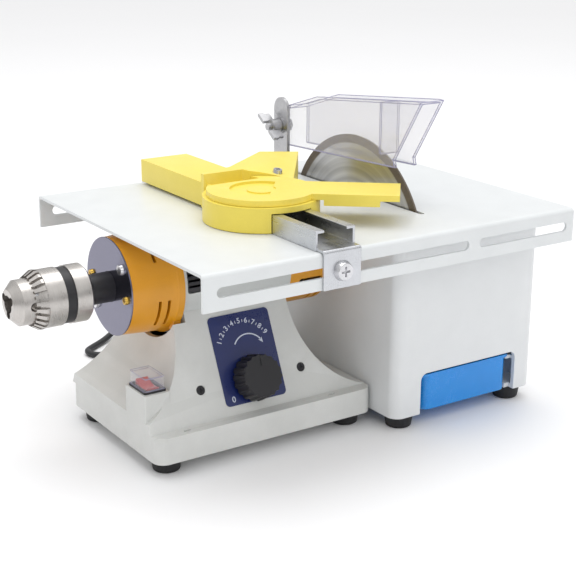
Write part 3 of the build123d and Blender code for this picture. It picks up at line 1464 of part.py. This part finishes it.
with BuildPart() as cord_hank:
    with BuildSketch(hank_plane(hank_start + hank_run / 2)):
        SlotCenterToCenter(hank_run, 2 * hank_half_width)
    extrude(amount=hank_height)
    with BuildSketch(hank_plane(hank_start / 2)):
        SlotCenterToCenter(hank_start, 2 * outer_loop_half)
    extrude(amount=cord_diameter)
    with BuildSketch(hank_plane((hank_start + hank_run) / 2)):
        SlotCenterToCenter(hank_start + hank_run, 2 * inner_half_width)
    extrude(amount=hank_height, mode=Mode.SUBTRACT)
    with BuildSketch(hank_plane(hank_start, -hank_turn)):
        Rectangle(2 * hank_tail, cord_diameter)
    extrude(amount=cord_diameter)
    with BuildSketch(hank_plane(hank_start + hank_run + hank_half_width / 2,
                                cord_diameter - hank_turn).offset(cord_diameter)):
        Rectangle(hank_half_width, cord_diameter)
    extrude(amount=cord_diameter)
keep(cord_hank, "cord_hank")

lead_z = cord_diameter / 2 + 0.1
cord_route = [
    (gland_x, base_back + gland_length, gland_z),
    (gland_x, base_back + gland_length + 11, gland_z),
    (gland_x + 2, base_back + gland_length + 28, 9.0),
    (gland_x + 6, base_back + gland_length + 46, 3.2),
    on_hank(hank_start - hank_tail - 21, -hank_turn, lead_z - 0.1),
    on_hank(hank_start - hank_tail, -hank_turn, lead_z - 0.1),
]


def corner_radii(route):
    """The largest tangent arcs that the runs beside each corner allow."""
    radii = []
    for before, corner, after in zip(route, route[1:], route[2:]):
        arrive = Vector(*corner) - Vector(*before)
        leave = Vector(*after) - Vector(*corner)
        turn = radians(arrive.get_angle(leave))
        radii.append(0.45 * min(arrive.length, leave.length) / tan(turn / 2))
    return radii


radii = corner_radii(cord_route)
print("cord radii", [round(r, 1) for r in radii])
with BuildPart() as power_cord:
    with BuildLine() as cord_path:
        FilletPolyline(*cord_route, radius=radii)
    with BuildSketch(Plane(origin=cord_path.line @ 0, z_dir=cord_path.line % 0)):
        Circle(cord_diameter / 2)
    sweep(path=cord_path.line)
cord_length = sum(edge.length for edge in cord_path.line.edges())
print("cord length", round(cord_length, 1), "volume ratio",
      round(power_cord.part.volume / (pi * cord_diameter**2 / 4 * cord_length), 4))
keep(power_cord, "power_cord")

plug_length = 30.0
plug_half_height = 6.75
plug_neck = 12.0
plug_across = cord_diameter - hank_turn
plug_plane = Plane(origin=on_hank(hank_start + hank_run + hank_half_width, plug_across, plug_half_height),
                   x_dir=hank_across, z_dir=hank_along)
with BuildPart() as plug:
    with BuildSketch(plug_plane):
        Circle(cord_diameter / 2)
    extrude(amount=plug_neck, taper=-8)
    with BuildSketch(plug_plane.offset(plug_neck)):
        RectangleRounded(26.0, 2 * plug_half_height, 5.0)
    extrude(amount=plug_length)
    with BuildSketch(plug_plane.offset(plug_neck + plug_length)):
        with GridLocations(18.6, 1, 2, 1):
            Circle(2.0)
    extrude(amount=18.0)
keep(plug, "plug")
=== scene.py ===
"""Looks of the bench trim saw: finishes, rounded edges, printed label, guard rims and mains lead.

Metres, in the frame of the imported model: +X along the spindle towards the splash box, -Y the
front, +Z up, and the bench surface at z = 0.
"""
import json
from math import atan2, cos, pi, radians, sin

import bmesh
import bpy
from mathutils import Matrix, Vector

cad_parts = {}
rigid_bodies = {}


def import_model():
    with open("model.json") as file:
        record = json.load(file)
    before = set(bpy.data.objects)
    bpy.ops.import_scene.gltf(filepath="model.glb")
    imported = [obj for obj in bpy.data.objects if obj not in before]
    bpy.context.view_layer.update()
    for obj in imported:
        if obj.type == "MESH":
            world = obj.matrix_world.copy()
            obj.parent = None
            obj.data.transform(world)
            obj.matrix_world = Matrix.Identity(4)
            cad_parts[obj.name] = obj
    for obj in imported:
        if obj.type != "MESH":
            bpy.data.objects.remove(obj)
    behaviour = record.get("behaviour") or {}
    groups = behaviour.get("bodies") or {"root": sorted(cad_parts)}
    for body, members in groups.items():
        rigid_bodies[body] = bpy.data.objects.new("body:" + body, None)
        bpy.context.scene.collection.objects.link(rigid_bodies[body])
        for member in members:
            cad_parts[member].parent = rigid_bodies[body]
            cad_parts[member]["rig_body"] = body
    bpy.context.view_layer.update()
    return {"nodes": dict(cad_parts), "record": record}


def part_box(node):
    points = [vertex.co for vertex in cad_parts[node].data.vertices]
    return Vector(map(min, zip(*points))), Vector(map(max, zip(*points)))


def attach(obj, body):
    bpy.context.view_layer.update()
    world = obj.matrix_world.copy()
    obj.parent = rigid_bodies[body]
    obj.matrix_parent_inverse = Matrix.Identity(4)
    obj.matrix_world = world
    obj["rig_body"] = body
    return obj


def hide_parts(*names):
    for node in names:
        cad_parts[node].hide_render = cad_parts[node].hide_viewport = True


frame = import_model()
scene = bpy.context.scene
MM = 0.001
SAME_POINT = 3e-6


def mm(*values):
    return Vector([value * MM for value in values])


def add_object(name, data):
    thing = bpy.data.objects.new(name, data)
    scene.collection.objects.link(thing)
    return thing


# ---------------------------------------------------------------- camera
CAMERA_PLACE = (-0.4442, -0.6994, 0.3494)
CAMERA_AZIMUTH = radians(-33.715)
CAMERA_ELEVATION = radians(17.59)
CAMERA_ROLL = radians(0.307)
CAMERA_LENS = 82.1

camera_data = bpy.data.cameras.new("camera")
camera_data.sensor_width = 36.0
camera_data.lens = CAMERA_LENS
camera_data.clip_start = 0.01
camera_data.clip_end = 50.0
camera = add_object("camera", camera_data)
back = Vector((sin(CAMERA_AZIMUTH) * cos(CAMERA_ELEVATION),
               -cos(CAMERA_AZIMUTH) * cos(CAMERA_ELEVATION), sin(CAMERA_ELEVATION)))
right = Vector((cos(CAMERA_AZIMUTH), sin(CAMERA_AZIMUTH), 0.0))
up = back.cross(right)
across = right * cos(CAMERA_ROLL) + up * sin(CAMERA_ROLL)
upward = up * cos(CAMERA_ROLL) - right * sin(CAMERA_ROLL)
camera.matrix_world = Matrix.Translation(CAMERA_PLACE) @ Matrix(
    (across, upward, back)).transposed().to_4x4()
scene.camera = camera


# ---------------------------------------------------------------- finishes
def linear(red, green, blue):
    """A screen colour, 0 to 255 a channel, as linear light."""
    channels = []
    for value in (red, green, blue):
        value /= 255.0
        channels.append(value / 12.92 if value <= 0.04045 else ((value + 0.055) / 1.055) ** 2.4)
    return channels


class Finish:
    """A procedural material under construction: a principled shader and its texture nodes."""

    def __init__(self, name, **sockets):
        self.material = bpy.data.materials.new(name)
        self.material.use_nodes = True
        self.tree = self.material.node_tree
        self.shader = self.tree.nodes["Principled BSDF"]
        self.place = self.node("ShaderNodeTexCoord").outputs["Object"]
        for socket, value in sockets.items():
            self.shader.inputs[socket.replace("_", " ")].default_value = value

    def node(self, kind, **settings):
        made = self.tree.nodes.new(kind)
        for setting, value in settings.items():
            setattr(made, setting, value)
        return made

    def link(self, output, target):
        self.tree.links.new(output, target)

    def math(self, operation, first, second=0.0):
        made = self.node("ShaderNodeMath", operation=operation)
        for slot, value in ((0, first), (1, second)):
            if isinstance(value, (int, float)):
                made.inputs[slot].default_value = value
            else:
                self.link(value, made.inputs[slot])
        return made.outputs[0]

    def noise(self, size, stretch=(1, 1, 1), detail=3.0, rough=0.55):
        """Noise with features about size millimetres across, longer where stretch is under 1."""
        mapping = self.node("ShaderNodeMapping")
        mapping.inputs["Scale"].default_value = stretch
        self.link(self.place, mapping.inputs["Vector"])
        texture = self.node("ShaderNodeTexNoise")
        texture.inputs["Scale"].default_value = 1.0 / (size * MM)
        texture.inputs["Detail"].default_value = detail
        texture.inputs["Roughness"].default_value = rough
        self.link(mapping.outputs[0], texture.inputs["Vector"])
        return texture.outputs[0]

    def spread(self, value, low, high, start=0.3, end=0.7):
        """value from start to end, spread over low to high."""
        ranged = self.node("ShaderNodeMapRange")
        for socket, number in (("From Min", start), ("From Max", end), ("To Min", low),
                               ("To Max", high)):
            ranged.inputs[socket].default_value = number
        self.link(value, ranged.inputs["Value"])
        return ranged.outputs[0]

    def mix(self, factor, first, second):
        mixed = self.node("ShaderNodeMix", data_type="RGBA")
        self.link(factor, mixed.inputs[0])
        for slot, value in ((6, first), (7, second)):
            if isinstance(value, (list, tuple)):
                mixed.inputs[slot].default_value = (*value[:3], 1.0)
            else:
                self.link(value, mixed.inputs[slot])
        return mixed.outputs[2]

    def colour(self, output):
        self.link(output, self.shader.inputs["Base Color"])

    def roughness(self, output):
        self.link(output, self.shader.inputs["Roughness"])

    def bump(self, height, depth):
        """Surface relief: height from 0 to 1, over depth millimetres."""
        relief = self.node("ShaderNodeBump")
        relief.inputs["Distance"].default_value = depth * MM
        self.link(height, relief.inputs["Height"])
        self.link(relief.outputs[0], self.shader.inputs["Normal"])


def surface(name, colour, rough=0.45, mottle=0.05, mottle_size=18.0, grain=0.03, grain_size=0.7,
            stretch=(1, 1, 1), edge_highlight=0.0, **sockets):
    """A finish with cloudy colour, uneven gloss and fine relief, and a painted highlight lightening its
    sharp edges.
    """
    finish = Finish(name, **sockets)
    cloud = finish.noise(mottle_size)
    fine = finish.noise(grain_size, stretch)
    shade = finish.mix(finish.spread(cloud, 0.0, 1.0),
                       [c * (1 - mottle) for c in colour], [min(1.0, c * (1 + mottle)) for c in colour])
    speckled = finish.mix(finish.spread(fine, 0.0, 0.5), shade, [c * (1 - 1.6 * mottle) for c in colour])
    # Painted highlight: colour lightened towards white along sharp convex edges (pointiness), where
    # rounded edges would catch the light
    if edge_highlight:
        edge = finish.node("ShaderNodeNewGeometry").outputs["Pointiness"]
        edge_highlight_mask = finish.math("MULTIPLY", finish.spread(edge, 0.0, edge_highlight, 0.52, 0.62),
                           finish.spread(cloud, 0.2, 1.0))
        speckled = finish.mix(edge_highlight_mask, speckled, [0.5 + c * 0.5 for c in colour])
    finish.colour(speckled)
    finish.roughness(finish.spread(finish.math("ADD", cloud, fine), rough - 0.06, rough + 0.06, 0.7, 1.3))
    finish.bump(fine, grain)
    return finish.material


def metal(name, colour, rough, stretch, grain_size=1.0, mottle=0.1, grain=0.012, **sockets):
    return surface(name, colour, rough, mottle=mottle, mottle_size=9.0, grain=grain,
                   grain_size=grain_size, stretch=stretch, Metallic=1.0, **sockets)


ALONG_X = (0.02, 1, 1)
TURNED_X = (1, 0.03, 0.03)
ALONG_Y = (1, 0.02, 1)

# The edge amount given to some finishes below sets a painted highlight along their sharp edges
finishes = {
    "housing_grey": surface("housing_paint", linear(208, 209, 206), 0.42, mottle=0.025, grain=0.018,
                            grain_size=0.9, edge_highlight=0.25),
    "table_white": surface("table_paint", linear(222, 225, 226), 0.34, mottle=0.018, grain=0.012,
                           grain_size=0.8, edge_highlight=0.3),
    "box_grey": surface("box_moulding", linear(226, 228, 229), 0.36, mottle=0.02, grain=0.012,
                        grain_size=0.6, edge_highlight=0.2),
    "cap_orange": surface("motor_cap_moulding", linear(222, 152, 22), 0.36, mottle=0.04, grain=0.01,
                          Coat_Weight=0.15),
    "casing_grey": surface("motor_case_paint", linear(205, 208, 206), 0.4, mottle=0.03, grain=0.012),
    "disc_violet": surface("polished_disc", linear(122, 121, 138), 0.16, mottle=0.04, grain=0.002,
                           grain_size=3.0, Metallic=1.0),
    "black_plastic": surface("black_moulding", linear(32, 31, 35), 0.42, mottle=0.12, grain=0.012),
    "rubber_black": surface("black_rubber", linear(27, 27, 29), 0.6, mottle=0.15, grain=0.03),
    "chuck_steel": metal("turned_steel", linear(196, 192, 188), 0.3, TURNED_X, grain_size=0.35,
                         grain=0.02),
    "steel": metal("zinc_steel", linear(188, 188, 190), 0.32, (1, 1, 1), grain_size=1.2),
    "bright_steel": metal("bright_steel", linear(215, 215, 218), 0.2, (1, 1, 1)),
    "brass": metal("brass", linear(214, 176, 84), 0.26, (1, 1, 1)),
    "copper": metal("copper", linear(200, 122, 84), 0.32, ALONG_X, grain_size=0.6),
    "laminate": surface("stacked_laminations", linear(92, 92, 96), 0.5, mottle=0.14, grain=0.06,
                        grain_size=0.5, stretch=TURNED_X, Metallic=0.6),
    "carbon": surface("carbon", linear(38, 38, 40), 0.7, mottle=0.2),
    "board_green": surface("circuit_board", linear(24, 96, 58), 0.4, mottle=0.12, grain=0.02),
    "label_blue": surface("label_print", linear(24, 38, 96), 0.32, mottle=0.07, grain=0.004,
                          Coat_Weight=0.3),
    "switch_red": surface("red_lens", linear(196, 26, 30), 0.22, mottle=0.08, grain=0.006,
                          Coat_Weight=0.4),
    "clear_plastic": surface("clear_moulding", linear(222, 222, 236), 0.09, mottle=0.02,
                             grain=0.004, grain_size=6.0, Alpha=0.2, IOR=1.5),
    "tray_blue": surface("tinted_tray", linear(30, 142, 226), 0.24, mottle=0.04, grain=0.006,
                         Subsurface_Weight=0.12, Coat_Weight=0.15),
    "rail_aluminium": metal("extruded_aluminium", linear(206, 208, 212), 0.3, ALONG_Y,
                            grain_size=0.5, mottle=0.07),
    "guide_yellow": surface("yellow_moulding", linear(243, 222, 92), 0.4, mottle=0.03, grain=0.02,
                            grain_size=1.1, edge_highlight=0.15, Coat_Weight=0.08),
    "white_plastic": surface("white_moulding", linear(222, 222, 216), 0.45),
}


BLADE_RINGS = 1300.0
BLADE_CLOUDS = 160.0
GRIT_START, GRIT_FULL = 6.2, 5.2


def ground_blade():
    """A ground disc with fine rings about the spindle and a dark band of grit at its rim."""
    finish = Finish("ground_blade", Metallic=0.9)
    low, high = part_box("saw_blade")
    centre = (low + high) / 2
    radius = (high.z - low.z) / 2
    parts = finish.node("ShaderNodeSeparateXYZ")
    finish.link(finish.place, parts.inputs[0])
    away = finish.math("SQRT", finish.math(
        "ADD",
        finish.math("POWER", finish.math("SUBTRACT", parts.outputs[1], centre.y), 2.0),
        finish.math("POWER", finish.math("SUBTRACT", parts.outputs[2], centre.z), 2.0)))
    rings = finish.node("ShaderNodeTexNoise", noise_dimensions="1D")
    rings.inputs["Scale"].default_value = BLADE_RINGS
    rings.inputs["Detail"].default_value = 2.0
    finish.link(away, rings.inputs["W"])
    wide = finish.node("ShaderNodeTexNoise", noise_dimensions="1D")
    wide.inputs["Scale"].default_value = BLADE_CLOUDS
    finish.link(away, wide.inputs["W"])
    grit = finish.noise(0.45, detail=5.0, rough=0.7)
    steel = finish.mix(finish.spread(wide.outputs[0], 0.0, 1.0), linear(168, 168, 170),
                       linear(204, 204, 206))
    rim = finish.spread(away, 0.0, 1.0, radius - GRIT_START * MM, radius - GRIT_FULL * MM)
    gritty = finish.mix(finish.spread(grit, 0.0, 1.0), linear(92, 84, 78), linear(150, 140, 128))
    finish.colour(finish.mix(rim, steel, gritty))
    finish.roughness(finish.spread(rim, 0.3, 0.62, 0.0, 1.0))
    finish.bump(finish.math("ADD", finish.math("MULTIPLY", rings.outputs[0], 0.35),
                            finish.math("MULTIPLY", grit, rim)), 0.05)
    return finish.material


finishes["blade_steel"] = ground_blade()

slots = {entry["node"]: entry["material_slot"] for entry in frame["record"]["subparts"]}

clear_cap = surface("clear_cap", linear(232, 232, 240), 0.08, mottle=0.02, grain=0.004,
                    grain_size=6.0, Alpha=0.12, IOR=1.45)
for name, node in frame["nodes"].items():
    material = clear_cap if name == "switch_cap" else finishes[slots[name]]
    if not node.material_slots:
        node.data.materials.append(material)
    for place in node.material_slots:
        place.material = material

body_of = {name: node["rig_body"] for name, node in frame["nodes"].items()}


# ---------------------------------------------------------------- rounded copies of hard-edged parts
def clean_copy(node):
    """The node's mesh with its flats merged into whole faces and no stored normals."""
    mesh = frame["nodes"][node].data.copy()
    stored = mesh.attributes.get("custom_normal")
    if stored:
        mesh.attributes.remove(stored)
    form = bmesh.new()
    form.from_mesh(mesh)
    bmesh.ops.remove_doubles(form, verts=form.verts, dist=SAME_POINT)
    bmesh.ops.dissolve_limit(form, angle_limit=radians(0.5), verts=form.verts, edges=form.edges,
                             use_dissolve_boundaries=False, delimit=set())
    for face in form.faces:
        face.smooth = True
    for edge in form.edges:
        edge.smooth = True
    form.to_mesh(mesh)
    form.free()
    return mesh


def rounded(node, name, radius, segments, angle=38.0):
    """A copy of the node with its hard edges rounded, shown in its place."""
    mesh = clean_copy(node)
    mesh.name = name
    piece = add_object(name, mesh)
    edges = piece.modifiers.new("rounded_edges", "BEVEL")
    edges.width = radius * MM
    edges.segments = segments
    edges.limit_method = "ANGLE"
    edges.angle_limit = radians(angle)
    edges.use_clamp_overlap = True
    edges.harden_normals = True
    edges.miter_outer = "MITER_ARC"
    shade = piece.modifiers.new("even_shading", "WEIGHTED_NORMAL")
    shade.keep_sharp = True
    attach(piece, body_of[node])
    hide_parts(node)


for node, name, radius, segments in (
        ("base_housing", "housing_shell", 0.9, 3),
        ("splash_box", "splash_box_shell", 0.7, 3),
        ("water_tray", "tray_shell", 0.5, 2),
        ("saw_table", "table_sheet", 0.35, 2),
        ("guide_base", "guide_casting", 0.8, 3),
        ("guide_arm", "guide_arm_casting", 0.8, 3),
        ("fence_rail", "fence_extrusion", 0.25, 2),
        ("fence_clamp_screws", "clamp_screws", 0.3, 2),
        ("motor_left_cap", "left_cap_moulding", 0.5, 2),
        ("motor_right_cap", "right_cap_moulding", 0.5, 2),
        ("motor_casing", "motor_tube", 0.3, 2),
        ("speed_knob", "knob_moulding", 0.8, 3),
        ("switch_body", "switch_frame", 0.3, 2),
        ("switch_rocker", "rocker_moulding", 0.4, 2),
        ("guard_bracket", "guard_bracket_plate", 0.25, 2),
        ("wing_nut", "wing_nut_casting", 0.5, 3),
        ("rubber_feet", "foot_mouldings", 0.8, 3),
        ("end_disc", "end_disc_plate", 0.3, 2),
        ("spindle_boss", "boss_tube", 0.4, 2),
        ("plug", "plug_moulding", 1.0, 3)):
    rounded(node, name, radius, segments)


# ---------------------------------------------------------------- guard: rims that catch the light
def rim_lines(node, name, thickness, material, angle=40.0):
    """A thin bead along each hard edge of the node, as the thick rims of a clear moulding show."""
    form = bmesh.new()
    form.from_mesh(frame["nodes"][node].data)
    bmesh.ops.remove_doubles(form, verts=form.verts, dist=SAME_POINT)
    hard = {edge for edge in form.edges
            if len(edge.link_faces) == 2 and edge.calc_face_angle() > radians(angle)}
    curve = bpy.data.curves.new(name, "CURVE")
    curve.dimensions = "3D"
    curve.bevel_depth = thickness * MM / 2
    curve.bevel_resolution = 1
    curve.use_fill_caps = True
    while hard:
        edge = min(hard, key=lambda e: e.index)
        hard.discard(edge)
        chain = [edge.verts[0], edge.verts[1]]
        for end in (1, 0):
            while True:
                tip, before = (chain[-1], chain[-2]) if end else (chain[0], chain[1])
                heading = (tip.co - before.co).normalized()
                onward = [e for e in tip.link_edges if e in hard
                          and heading.dot((e.other_vert(tip).co - tip.co).normalized()) > 0.8]
                if not onward:
                    break
                follow = min(onward, key=lambda e: e.index)
                hard.discard(follow)
                if end:
                    chain.append(follow.other_vert(tip))
                else:
                    chain.insert(0, follow.other_vert(tip))
        spline = curve.splines.new("POLY")
        spline.points.add(len(chain) - 1)
        for point, vertex in zip(spline.points, chain):
            point.co = (*vertex.co, 1.0)
    form.free()
    curve.materials.append(material)
    beads = add_object(name, curve)
    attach(beads, body_of[node])


rim_plastic = surface("guard_rim", linear(176, 174, 204), 0.12, mottle=0.05, grain=0.004,
                      Alpha=0.62, IOR=1.5)
rim_lines("guard_cover", "guard_rims", 0.7, rim_plastic)
rim_lines("switch_cap", "switch_cap_rims", 0.35, rim_plastic)


# ---------------------------------------------------------------- printed label
PANEL_SETBACK, PANEL_RISE = 24.0, 52.0
PANEL_TILT = atan2(PANEL_SETBACK, PANEL_RISE)
up_slope = Vector((0.0, sin(PANEL_TILT), cos(PANEL_TILT)))
off_panel = Vector((0.0, -cos(PANEL_TILT), sin(PANEL_TILT)))
LABEL_LENGTH = 57.0
LABEL_THICKNESS = 0.5
label_low, label_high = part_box("control_label")
label_top = (label_low + label_high) / 2 + up_slope * LABEL_LENGTH / 2 * MM
PRINT_HEIGHT = 0.06
SCALE_CENTRE = (0.0, 24.3)
SCALE_STEP = 16.0
FIRST_TICK, FIRST_NUMBER = 148.0, 156.0
TICK_SPAN = (17.9, 19.6)
NUMBER_RADIUS = 18.9
ARROW_CENTRE, ARROW_RADIUS = (2.8, 26.0), 11.6
ARROW_START, ARROW_END, BARB_BASE, ARROW_TIP = 146.0, 36.0, 38.0, 21.0
LETTER_SCALE = 1.45
LETTER_SWELL = 0.06


def on_label(right_mm, down_mm, out_mm=0.0):
    """A point on the label's face, measured from the middle of its top edge."""
    return (label_top + Vector((right_mm * MM, 0, 0)) - up_slope * down_mm * MM
            + off_panel * (LABEL_THICKNESS / 2 + out_mm) * MM)


def print_shape(form, outline):
    """A flat printed shape from its outline, a list of (right, down) points on the label."""
    under = [form.verts.new(on_label(x, y)) for x, y in outline]
    over = [form.verts.new(on_label(x, y, PRINT_HEIGHT)) for x, y in outline]
    form.faces.new(over)
    for i in range(len(outline)):
        k = (i + 1) % len(outline)
        form.faces.new((under[i], under[k], over[k], over[i]))


def stroke(form, points, width):
    """A line of one width through (right, down) points, in one piece."""
    left, right_side = [], []
    for i, (x, y) in enumerate(points):
        x0, y0 = points[max(0, i - 1)]
        x1, y1 = points[min(len(points) - 1, i + 1)]
        size = ((x1 - x0) ** 2 + (y1 - y0) ** 2) ** 0.5
        nx, ny = -(y1 - y0) / size * width / 2, (x1 - x0) / size * width / 2
        left.append((x + nx, y + ny))
        right_side.append((x - nx, y - ny))
    print_shape(form, left + right_side[::-1])


def arc(centre, radius, start, end, steps):
    turns = [radians(start + (end - start) * i / steps) for i in range(steps + 1)]
    return [(centre[0] + radius * cos(t), centre[1] - radius * sin(t)) for t in turns]


ink = surface("white_ink", linear(206, 212, 226), 0.4, mottle=0.04, grain=0.004)
form = bmesh.new()
for step in range(8):
    turn = radians(FIRST_TICK - step * SCALE_STEP)
    stroke(form, [(SCALE_CENTRE[0] + r * cos(turn), SCALE_CENTRE[1] - r * sin(turn))
                  for r in TICK_SPAN], 0.45)
stroke(form, arc(ARROW_CENTRE, ARROW_RADIUS, ARROW_START, ARROW_END, 26), 0.8)
tip = arc(ARROW_CENTRE, ARROW_RADIUS, ARROW_TIP, ARROW_TIP, 1)[0]
barb_centre = arc(ARROW_CENTRE, ARROW_RADIUS, BARB_BASE, BARB_BASE, 1)[0]
heading = Vector((tip[0] - barb_centre[0], tip[1] - barb_centre[1])).normalized()
side = Vector((-heading.y, heading.x)) * 1.5
notch = Vector(barb_centre) + heading * 0.8
print_shape(form, [tip, tuple(Vector(barb_centre) + side), tuple(notch),
                   tuple(Vector(barb_centre) - side)])
bmesh.ops.recalc_face_normals(form, faces=form.faces)
print_mesh = bpy.data.meshes.new("label_marks")
form.to_mesh(print_mesh)
form.free()
label_marks = add_object("label_marks", print_mesh)
print_mesh.materials.append(ink)
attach(label_marks, "machine")


def printed_number(text, right_mm, down_mm, size, turn, name):
    """A dial number on the label, its own height in millimetres, turned to follow the scale."""
    curve = bpy.data.curves.new(name, "FONT")
    curve.body = text
    curve.size = size * MM * LETTER_SCALE
    curve.align_x = "CENTER"
    curve.align_y = "CENTER"
    curve.extrude = PRINT_HEIGHT * MM / 2
    curve.offset = LETTER_SWELL * MM
    drawn = add_object(name + "_outline", curve)
    bpy.context.view_layer.update()
    shape = bpy.data.meshes.new_from_object(
        drawn.evaluated_get(bpy.context.evaluated_depsgraph_get()))
    bpy.data.objects.remove(drawn)
    axes = Matrix((Vector((1, 0, 0)), up_slope, off_panel)).transposed().to_4x4()
    shape.transform(Matrix.Translation(on_label(right_mm, down_mm, PRINT_HEIGHT / 2)) @ axes
                    @ Matrix.Rotation(turn, 4, "Z"))
    shape.materials.clear()
    shape.materials.append(ink)
    number = add_object(name, shape)
    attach(number, "machine")


for step in range(9):
    turn = radians(FIRST_NUMBER - step * SCALE_STEP)
    printed_number(str(step + 1), SCALE_CENTRE[0] + NUMBER_RADIUS * cos(turn),
                   SCALE_CENTRE[1] - NUMBER_RADIUS * sin(turn), 3.3, turn - pi / 2,
                   f"dial_number_{step + 1}")
printed_number("0", -16.2, 53.2, 3.6, 0.0, "dial_number_0")


# ---------------------------------------------------------------- mains lead
CORD = 4.6
LOOP_CENTRE = (-43.0, 157.8)
HANK_ANGLE = radians(31.6)
INNER_TURN = 9.5
MIDDLE_TURN = INNER_TURN + CORD
OUTER_TURN = INNER_TURN + 2 * CORD
NEAR_FOLD, FAR_FOLD = 62.0, 137.0
FLOOR_Z = CORD / 2
SECOND_Z = FLOOR_Z + CORD
THIRD_Z = FLOOR_Z + 2 * CORD


def on_hank(along, sideways, z):
    """A point measured along and across the folded lead from the middle of its left loop."""
    return (LOOP_CENTRE[0] + along * cos(HANK_ANGLE) - sideways * sin(HANK_ANGLE),
            LOOP_CENTRE[1] + along * sin(HANK_ANGLE) + sideways * cos(HANK_ANGLE), z)


def fold(middle, start_radius, end_radius, start_z, end_z, far_end):
    """Half a turn of the lead about a point on the hank's middle line."""
    points = []
    for step in range(6):
        share = step / 5
        turn = radians(-75 + 30 * step) + (0 if far_end else pi)
        radius = (start_radius + (end_radius - start_radius) * share) / cos(radians(15))
        points.append(on_hank(middle + radius * cos(turn), radius * sin(turn),
                              start_z + (end_z - start_z) * share))
    return points


route = [(-30, 83, 18), (-30, 94, 18), (-28, 111, 9), (-24, 129, 3.2),
         on_hank(29, -OUTER_TURN, FLOOR_Z), on_hank(50, -OUTER_TURN, FLOOR_Z)]
route += fold(FAR_FOLD, OUTER_TURN, OUTER_TURN, FLOOR_Z, FLOOR_Z, True)
route += fold(NEAR_FOLD, OUTER_TURN, MIDDLE_TURN, FLOOR_Z, FLOOR_Z, False)
route += fold(FAR_FOLD, MIDDLE_TURN, MIDDLE_TURN, FLOOR_Z, FLOOR_Z, True)
route += fold(NEAR_FOLD, MIDDLE_TURN, INNER_TURN, FLOOR_Z, FLOOR_Z, False)
route += fold(FAR_FOLD, INNER_TURN, INNER_TURN, FLOOR_Z, FLOOR_Z, True)
route += [on_hank(76, INNER_TURN, FLOOR_Z), on_hank(60, INNER_TURN, SECOND_Z),
          on_hank(40, INNER_TURN, SECOND_Z), on_hank(22, INNER_TURN, FLOOR_Z)]
route += fold(0.0, INNER_TURN, INNER_TURN, FLOOR_Z, FLOOR_Z, False)
route += [on_hank(22, -INNER_TURN, FLOOR_Z), on_hank(40, -INNER_TURN, SECOND_Z)]
route += fold(FAR_FOLD, INNER_TURN, MIDDLE_TURN, SECOND_Z, SECOND_Z, True)
route += [on_hank(96, MIDDLE_TURN, SECOND_Z), on_hank(72, MIDDLE_TURN, THIRD_Z)]
route += fold(NEAR_FOLD, MIDDLE_TURN, MIDDLE_TURN, THIRD_Z, THIRD_Z, False)
route += [on_hank(72, -MIDDLE_TURN, THIRD_Z), on_hank(96, -MIDDLE_TURN, SECOND_Z),
          on_hank(140, -MIDDLE_TURN, SECOND_Z), on_hank(166, -MIDDLE_TURN, SECOND_Z)]

cord_curve = bpy.data.curves.new("mains_lead", "CURVE")
cord_curve.dimensions = "3D"
cord_curve.resolution_u = 8
cord_curve.bevel_depth = CORD * MM / 2
cord_curve.bevel_resolution = 6
cord_curve.use_fill_caps = True
line = cord_curve.splines.new("NURBS")
line.points.add(len(route) - 1)
for point, place in zip(line.points, route):
    point.co = (*mm(*place), 1.0)
line.order_u = 3
line.use_endpoint_u = True
mains_lead = add_object("mains_lead", cord_curve)
cord_curve.materials.append(surface("lead_jacket", linear(34, 35, 38), 0.42, mottle=0.1, grain=0.01))
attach(mains_lead, "machine")
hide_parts("power_cord", "cord_hank")


# ---------------------------------------------------------------- floor and light
FLOOR_REACH = 9.0
floor_mesh = bpy.data.meshes.new("floor")
floor_mesh.from_pydata([(-FLOOR_REACH, -FLOOR_REACH, 0), (FLOOR_REACH, -FLOOR_REACH, 0),
                        (FLOOR_REACH, FLOOR_REACH, 0), (-FLOOR_REACH, FLOOR_REACH, 0)], [], [(0, 1, 2, 3)])
floor = add_object("floor", floor_mesh)
floor.location.z = -0.0002
floor_mesh.materials.append(surface("floor_paper", linear(250, 250, 251), 0.7, mottle=0.004,
                                    mottle_size=400.0, grain=0.0))

world = bpy.data.worlds.new("studio")
scene.world = world
world.use_nodes = True
sky = world.node_tree
dome = sky.nodes["Background"]
direction = sky.nodes.new("ShaderNodeTexCoord")
parts = sky.nodes.new("ShaderNodeSeparateXYZ")
ramp = sky.nodes.new("ShaderNodeMapRange")
for socket, value in (("From Min", -0.05), ("From Max", 0.75), ("To Min", 0.42), ("To Max", 1.02)):
    ramp.inputs[socket].default_value = value
sky.links.new(direction.outputs["Generated"], parts.inputs[0])
sky.links.new(parts.outputs[2], ramp.inputs["Value"])
sky.links.new(ramp.outputs[0], dome.inputs["Strength"])
dome.inputs["Color"].default_value = (1.0, 1.0, 1.0, 1.0)


def softbox(name, place, target, size, power):
    light = bpy.data.lights.new(name, "AREA")
    light.shape = "RECTANGLE"
    light.size, light.size_y = size
    light.energy = power
    lamp = add_object(name, light)
    lamp.location = place
    lamp.rotation_euler = (Vector(target) - Vector(place)).to_track_quat("-Z", "Y").to_euler()


softbox("overhead", (0.1, 0.3, 1.7), (0, 0, 0.1), (1.6, 1.2), 12.5)
softbox("front_fill", (-0.3, -1.7, 1.0), (0, 0, 0.08), (0.9, 0.9), 3.2)
scene.view_settings.view_transform = "Standard"
scene.view_settings.look = "None"
